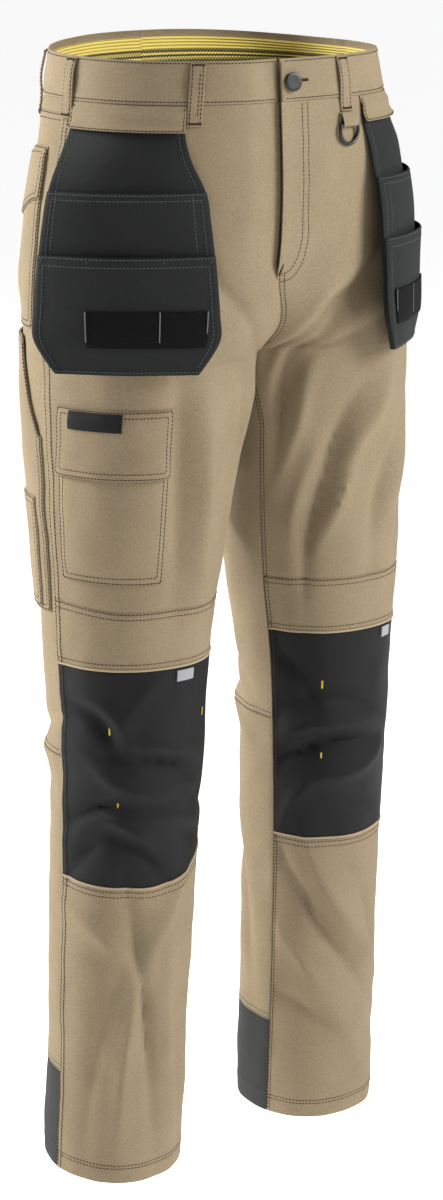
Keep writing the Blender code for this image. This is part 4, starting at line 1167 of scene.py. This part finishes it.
# %% Ring and its tab
RING_WIRE, RING_WIDTH, RING_DROP, TAB_WIDTH = 0.0017, 0.025, 0.0185, 0.020
TAB_RADIUS, TAB_TOP, TAB_PLY = 0.0028, 0.0098, 0.0008
hinge = next(joint for joint in frame["joints"] if joint["name"] == "ring_swing")
print("hinge", {key: hinge[key] for key in hinge if key != "name"})
ring_out = Vector((0.188118, -0.982146, 0.0))
ring_place = Vector((0.059651, -0.122536, -0.06313))
ring_frame = turned_frame(ring_place, ring_out)
half, shoulder = RING_WIDTH / 2, 0.006
bow = RING_DROP - shoulder
path = [(-half + half * k / 4, 0.0) for k in range(9)]
path += [(half * math.cos(math.pi * k / 40), -shoulder - bow * math.sin(math.pi * k / 40))
         for k in range(41)]
path = np.array(path)
for _ in range(2):
    path = (np.roll(path, 1, axis=0) + path * 2 + np.roll(path, -1, axis=0)) / 4
line = bpy.data.curves.new("ring", "CURVE")
line.dimensions, line.bevel_depth, line.bevel_resolution = "3D", RING_WIRE, 4
spline = line.splines.new("POLY")
spline.points.add(len(path) - 1)
spline.use_cyclic_u = True
spline.points.foreach_set("co", np.c_[path, np.zeros(len(path)), np.ones(len(path))].ravel())
loose = bpy.data.objects.new("ring", line)
bm = bmesh.new()
bm.from_mesh(bpy.data.meshes.new_from_object(loose))
bpy.data.objects.remove(loose)
bmesh.ops.transform(bm, matrix=ring_frame, verts=bm.verts[:])
bmesh.ops.recalc_face_normals(bm, faces=bm.faces[:])
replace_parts(add_mesh("bent_ring", bm, dark_metal, body="ring"), "d_ring")

back = -0.00395 + LAY_GAP + TAB_PLY
turns = np.linspace(-math.pi / 2, math.pi / 2, 18)
strip = [(t, back) for t in np.linspace(TAB_TOP, 0.001, 6)]
strip += [(-TAB_RADIUS * math.cos(t), TAB_RADIUS * math.sin(t)) for t in turns]
strip += [(t, TAB_RADIUS - (TAB_RADIUS + 0.0006) * (t / TAB_TOP) ** 1.5)
          for t in np.linspace(0.0015, TAB_TOP, 7)]
strip = np.array(strip)
across = np.linspace(-TAB_WIDTH / 2, TAB_WIDTH / 2, 7)
turned = np.array(ring_frame)
grid = np.array([[(x, y, z) for x in across] for y, z in strip])
ahead = np.gradient(grid, axis=0)
outward = np.stack((np.zeros(grid.shape[:2]), -ahead[..., 2], ahead[..., 1]), axis=-1)
outward /= np.linalg.norm(outward, axis=-1, keepdims=True)
tab = Patch(grid @ turned[:3, :3].T + turned[:3, 3], -outward @ turned[:3, :3].T)
add_sheet("d_ring_tab", tab, -0.0002, 0.0006, khaki, gap=0.0)
print("ring of", len(path), "points")

# %% Join the stitches
colours = {"brown": brown_thread, "grey": grey_thread, "pale": pale_thread,
           "yellow": yellow_thread, "black": black_thread}
bm = bmesh.new()
bmesh.ops.create_uvsphere(bm, u_segments=6, v_segments=3, radius=1.0)
grain = np.array([vert.co for vert in bm.verts])[:, [2, 0, 1]]
grain_faces = [[vert.index for vert in face.verts] for face in bm.faces]
bm.free()
for thread, surface in colours.items():
    for word, sign in (("right", -1), ("left", 1)):
        found = [s for s in stitches.get(thread, []) if (s[0][0] >= 0) == (sign > 0)]
        if not found:
            continue
        place, x, y, z = (np.array([s[k] for s in found]) for k in range(4))
        axes = np.stack((x, y, z), axis=1)
        points = np.einsum("gk,nkc->ngc", grain, axes) + place[:, None, :]
        shift = (np.arange(len(found)) * len(grain))[:, None]
        faces = [face for start in shift[:, 0] for face in
                 ([v + start for v in f] for f in grain_faces)]
        mesh = bpy.data.meshes.new(f"{thread}_stitches_{word}")
        mesh.from_pydata(points.reshape(-1, 3), [], faces)
        mesh.materials.append(surface)
        mesh.shade_smooth()
        made = bpy.data.objects.new(mesh.name, mesh)
        bpy.context.scene.collection.objects.link(made)
        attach(made, "trousers")
        print(mesh.name, len(found), "stitches")

# %% [markdown]
# ## Floor, light and camera
# A wide pale floor and large soft lights show the cloth as a studio does. The camera stands where
# the photograph was taken from: a little to the wearer's right, and slightly above the waist.

# %% Floor and lights
bm = bmesh.new()
bmesh.ops.create_grid(bm, x_segments=2, y_segments=2, size=60.0)
bmesh.ops.translate(bm, verts=bm.verts[:], vec=(0, 0, -1.30))
mesh = bpy.data.meshes.new("floor")
bm.to_mesh(mesh)
bm.free()
pale, shader, _ = start_material("pale_floor", (0.80, 0.80, 0.80), 0.9)
shader.inputs["Emission Color"].default_value = (1.0, 1.0, 1.0, 1.0)
shader.inputs["Emission Strength"].default_value = 0.80
mesh.materials.append(pale)
floor = bpy.data.objects.new("floor", mesh)
bpy.context.scene.collection.objects.link(floor)

world = bpy.data.worlds.new("studio")
world.use_nodes = True
world.node_tree.nodes["Background"].inputs["Color"].default_value = (1, 1, 1, 1)
world.node_tree.nodes["Background"].inputs["Strength"].default_value = 0.18
bpy.context.scene.world = world


def area_light(name, place, target, size, power):
    lamp = bpy.data.lights.new(name, "AREA")
    lamp.size, lamp.energy = size, power
    made = bpy.data.objects.new(name, lamp)
    made.location = place
    made.rotation_euler = (Vector(target) - Vector(place)).to_track_quat("-Z", "Y").to_euler()
    bpy.context.scene.collection.objects.link(made)
    return made


area_light("left_window", (-1.7, 1.9, 0.8), (0, 0, -0.5), 1.5, 172)
area_light("right_window", (1.55, -1.95, 1.0), (0, 0, -0.5), 1.4, 102)
area_light("ceiling", (0.2, -0.4, 2.4), (0, 0, -0.5), 1.4, 12)
print("studio lit")

# %% Camera
lens = bpy.data.cameras.new("photo_view")
lens.lens, lens.sensor_width, lens.shift_x = 91.2, 36.0, 0.0079
camera = bpy.data.objects.new("photo_view", lens)
camera.location = (-1.724, -2.206, 0.2)
camera.rotation_euler = (math.radians(75.6), 0.0, math.radians(-38.0))
bpy.context.scene.collection.objects.link(camera)
bpy.context.scene.camera = camera
bpy.context.scene.view_settings.view_transform = "Standard"

print("camera set")
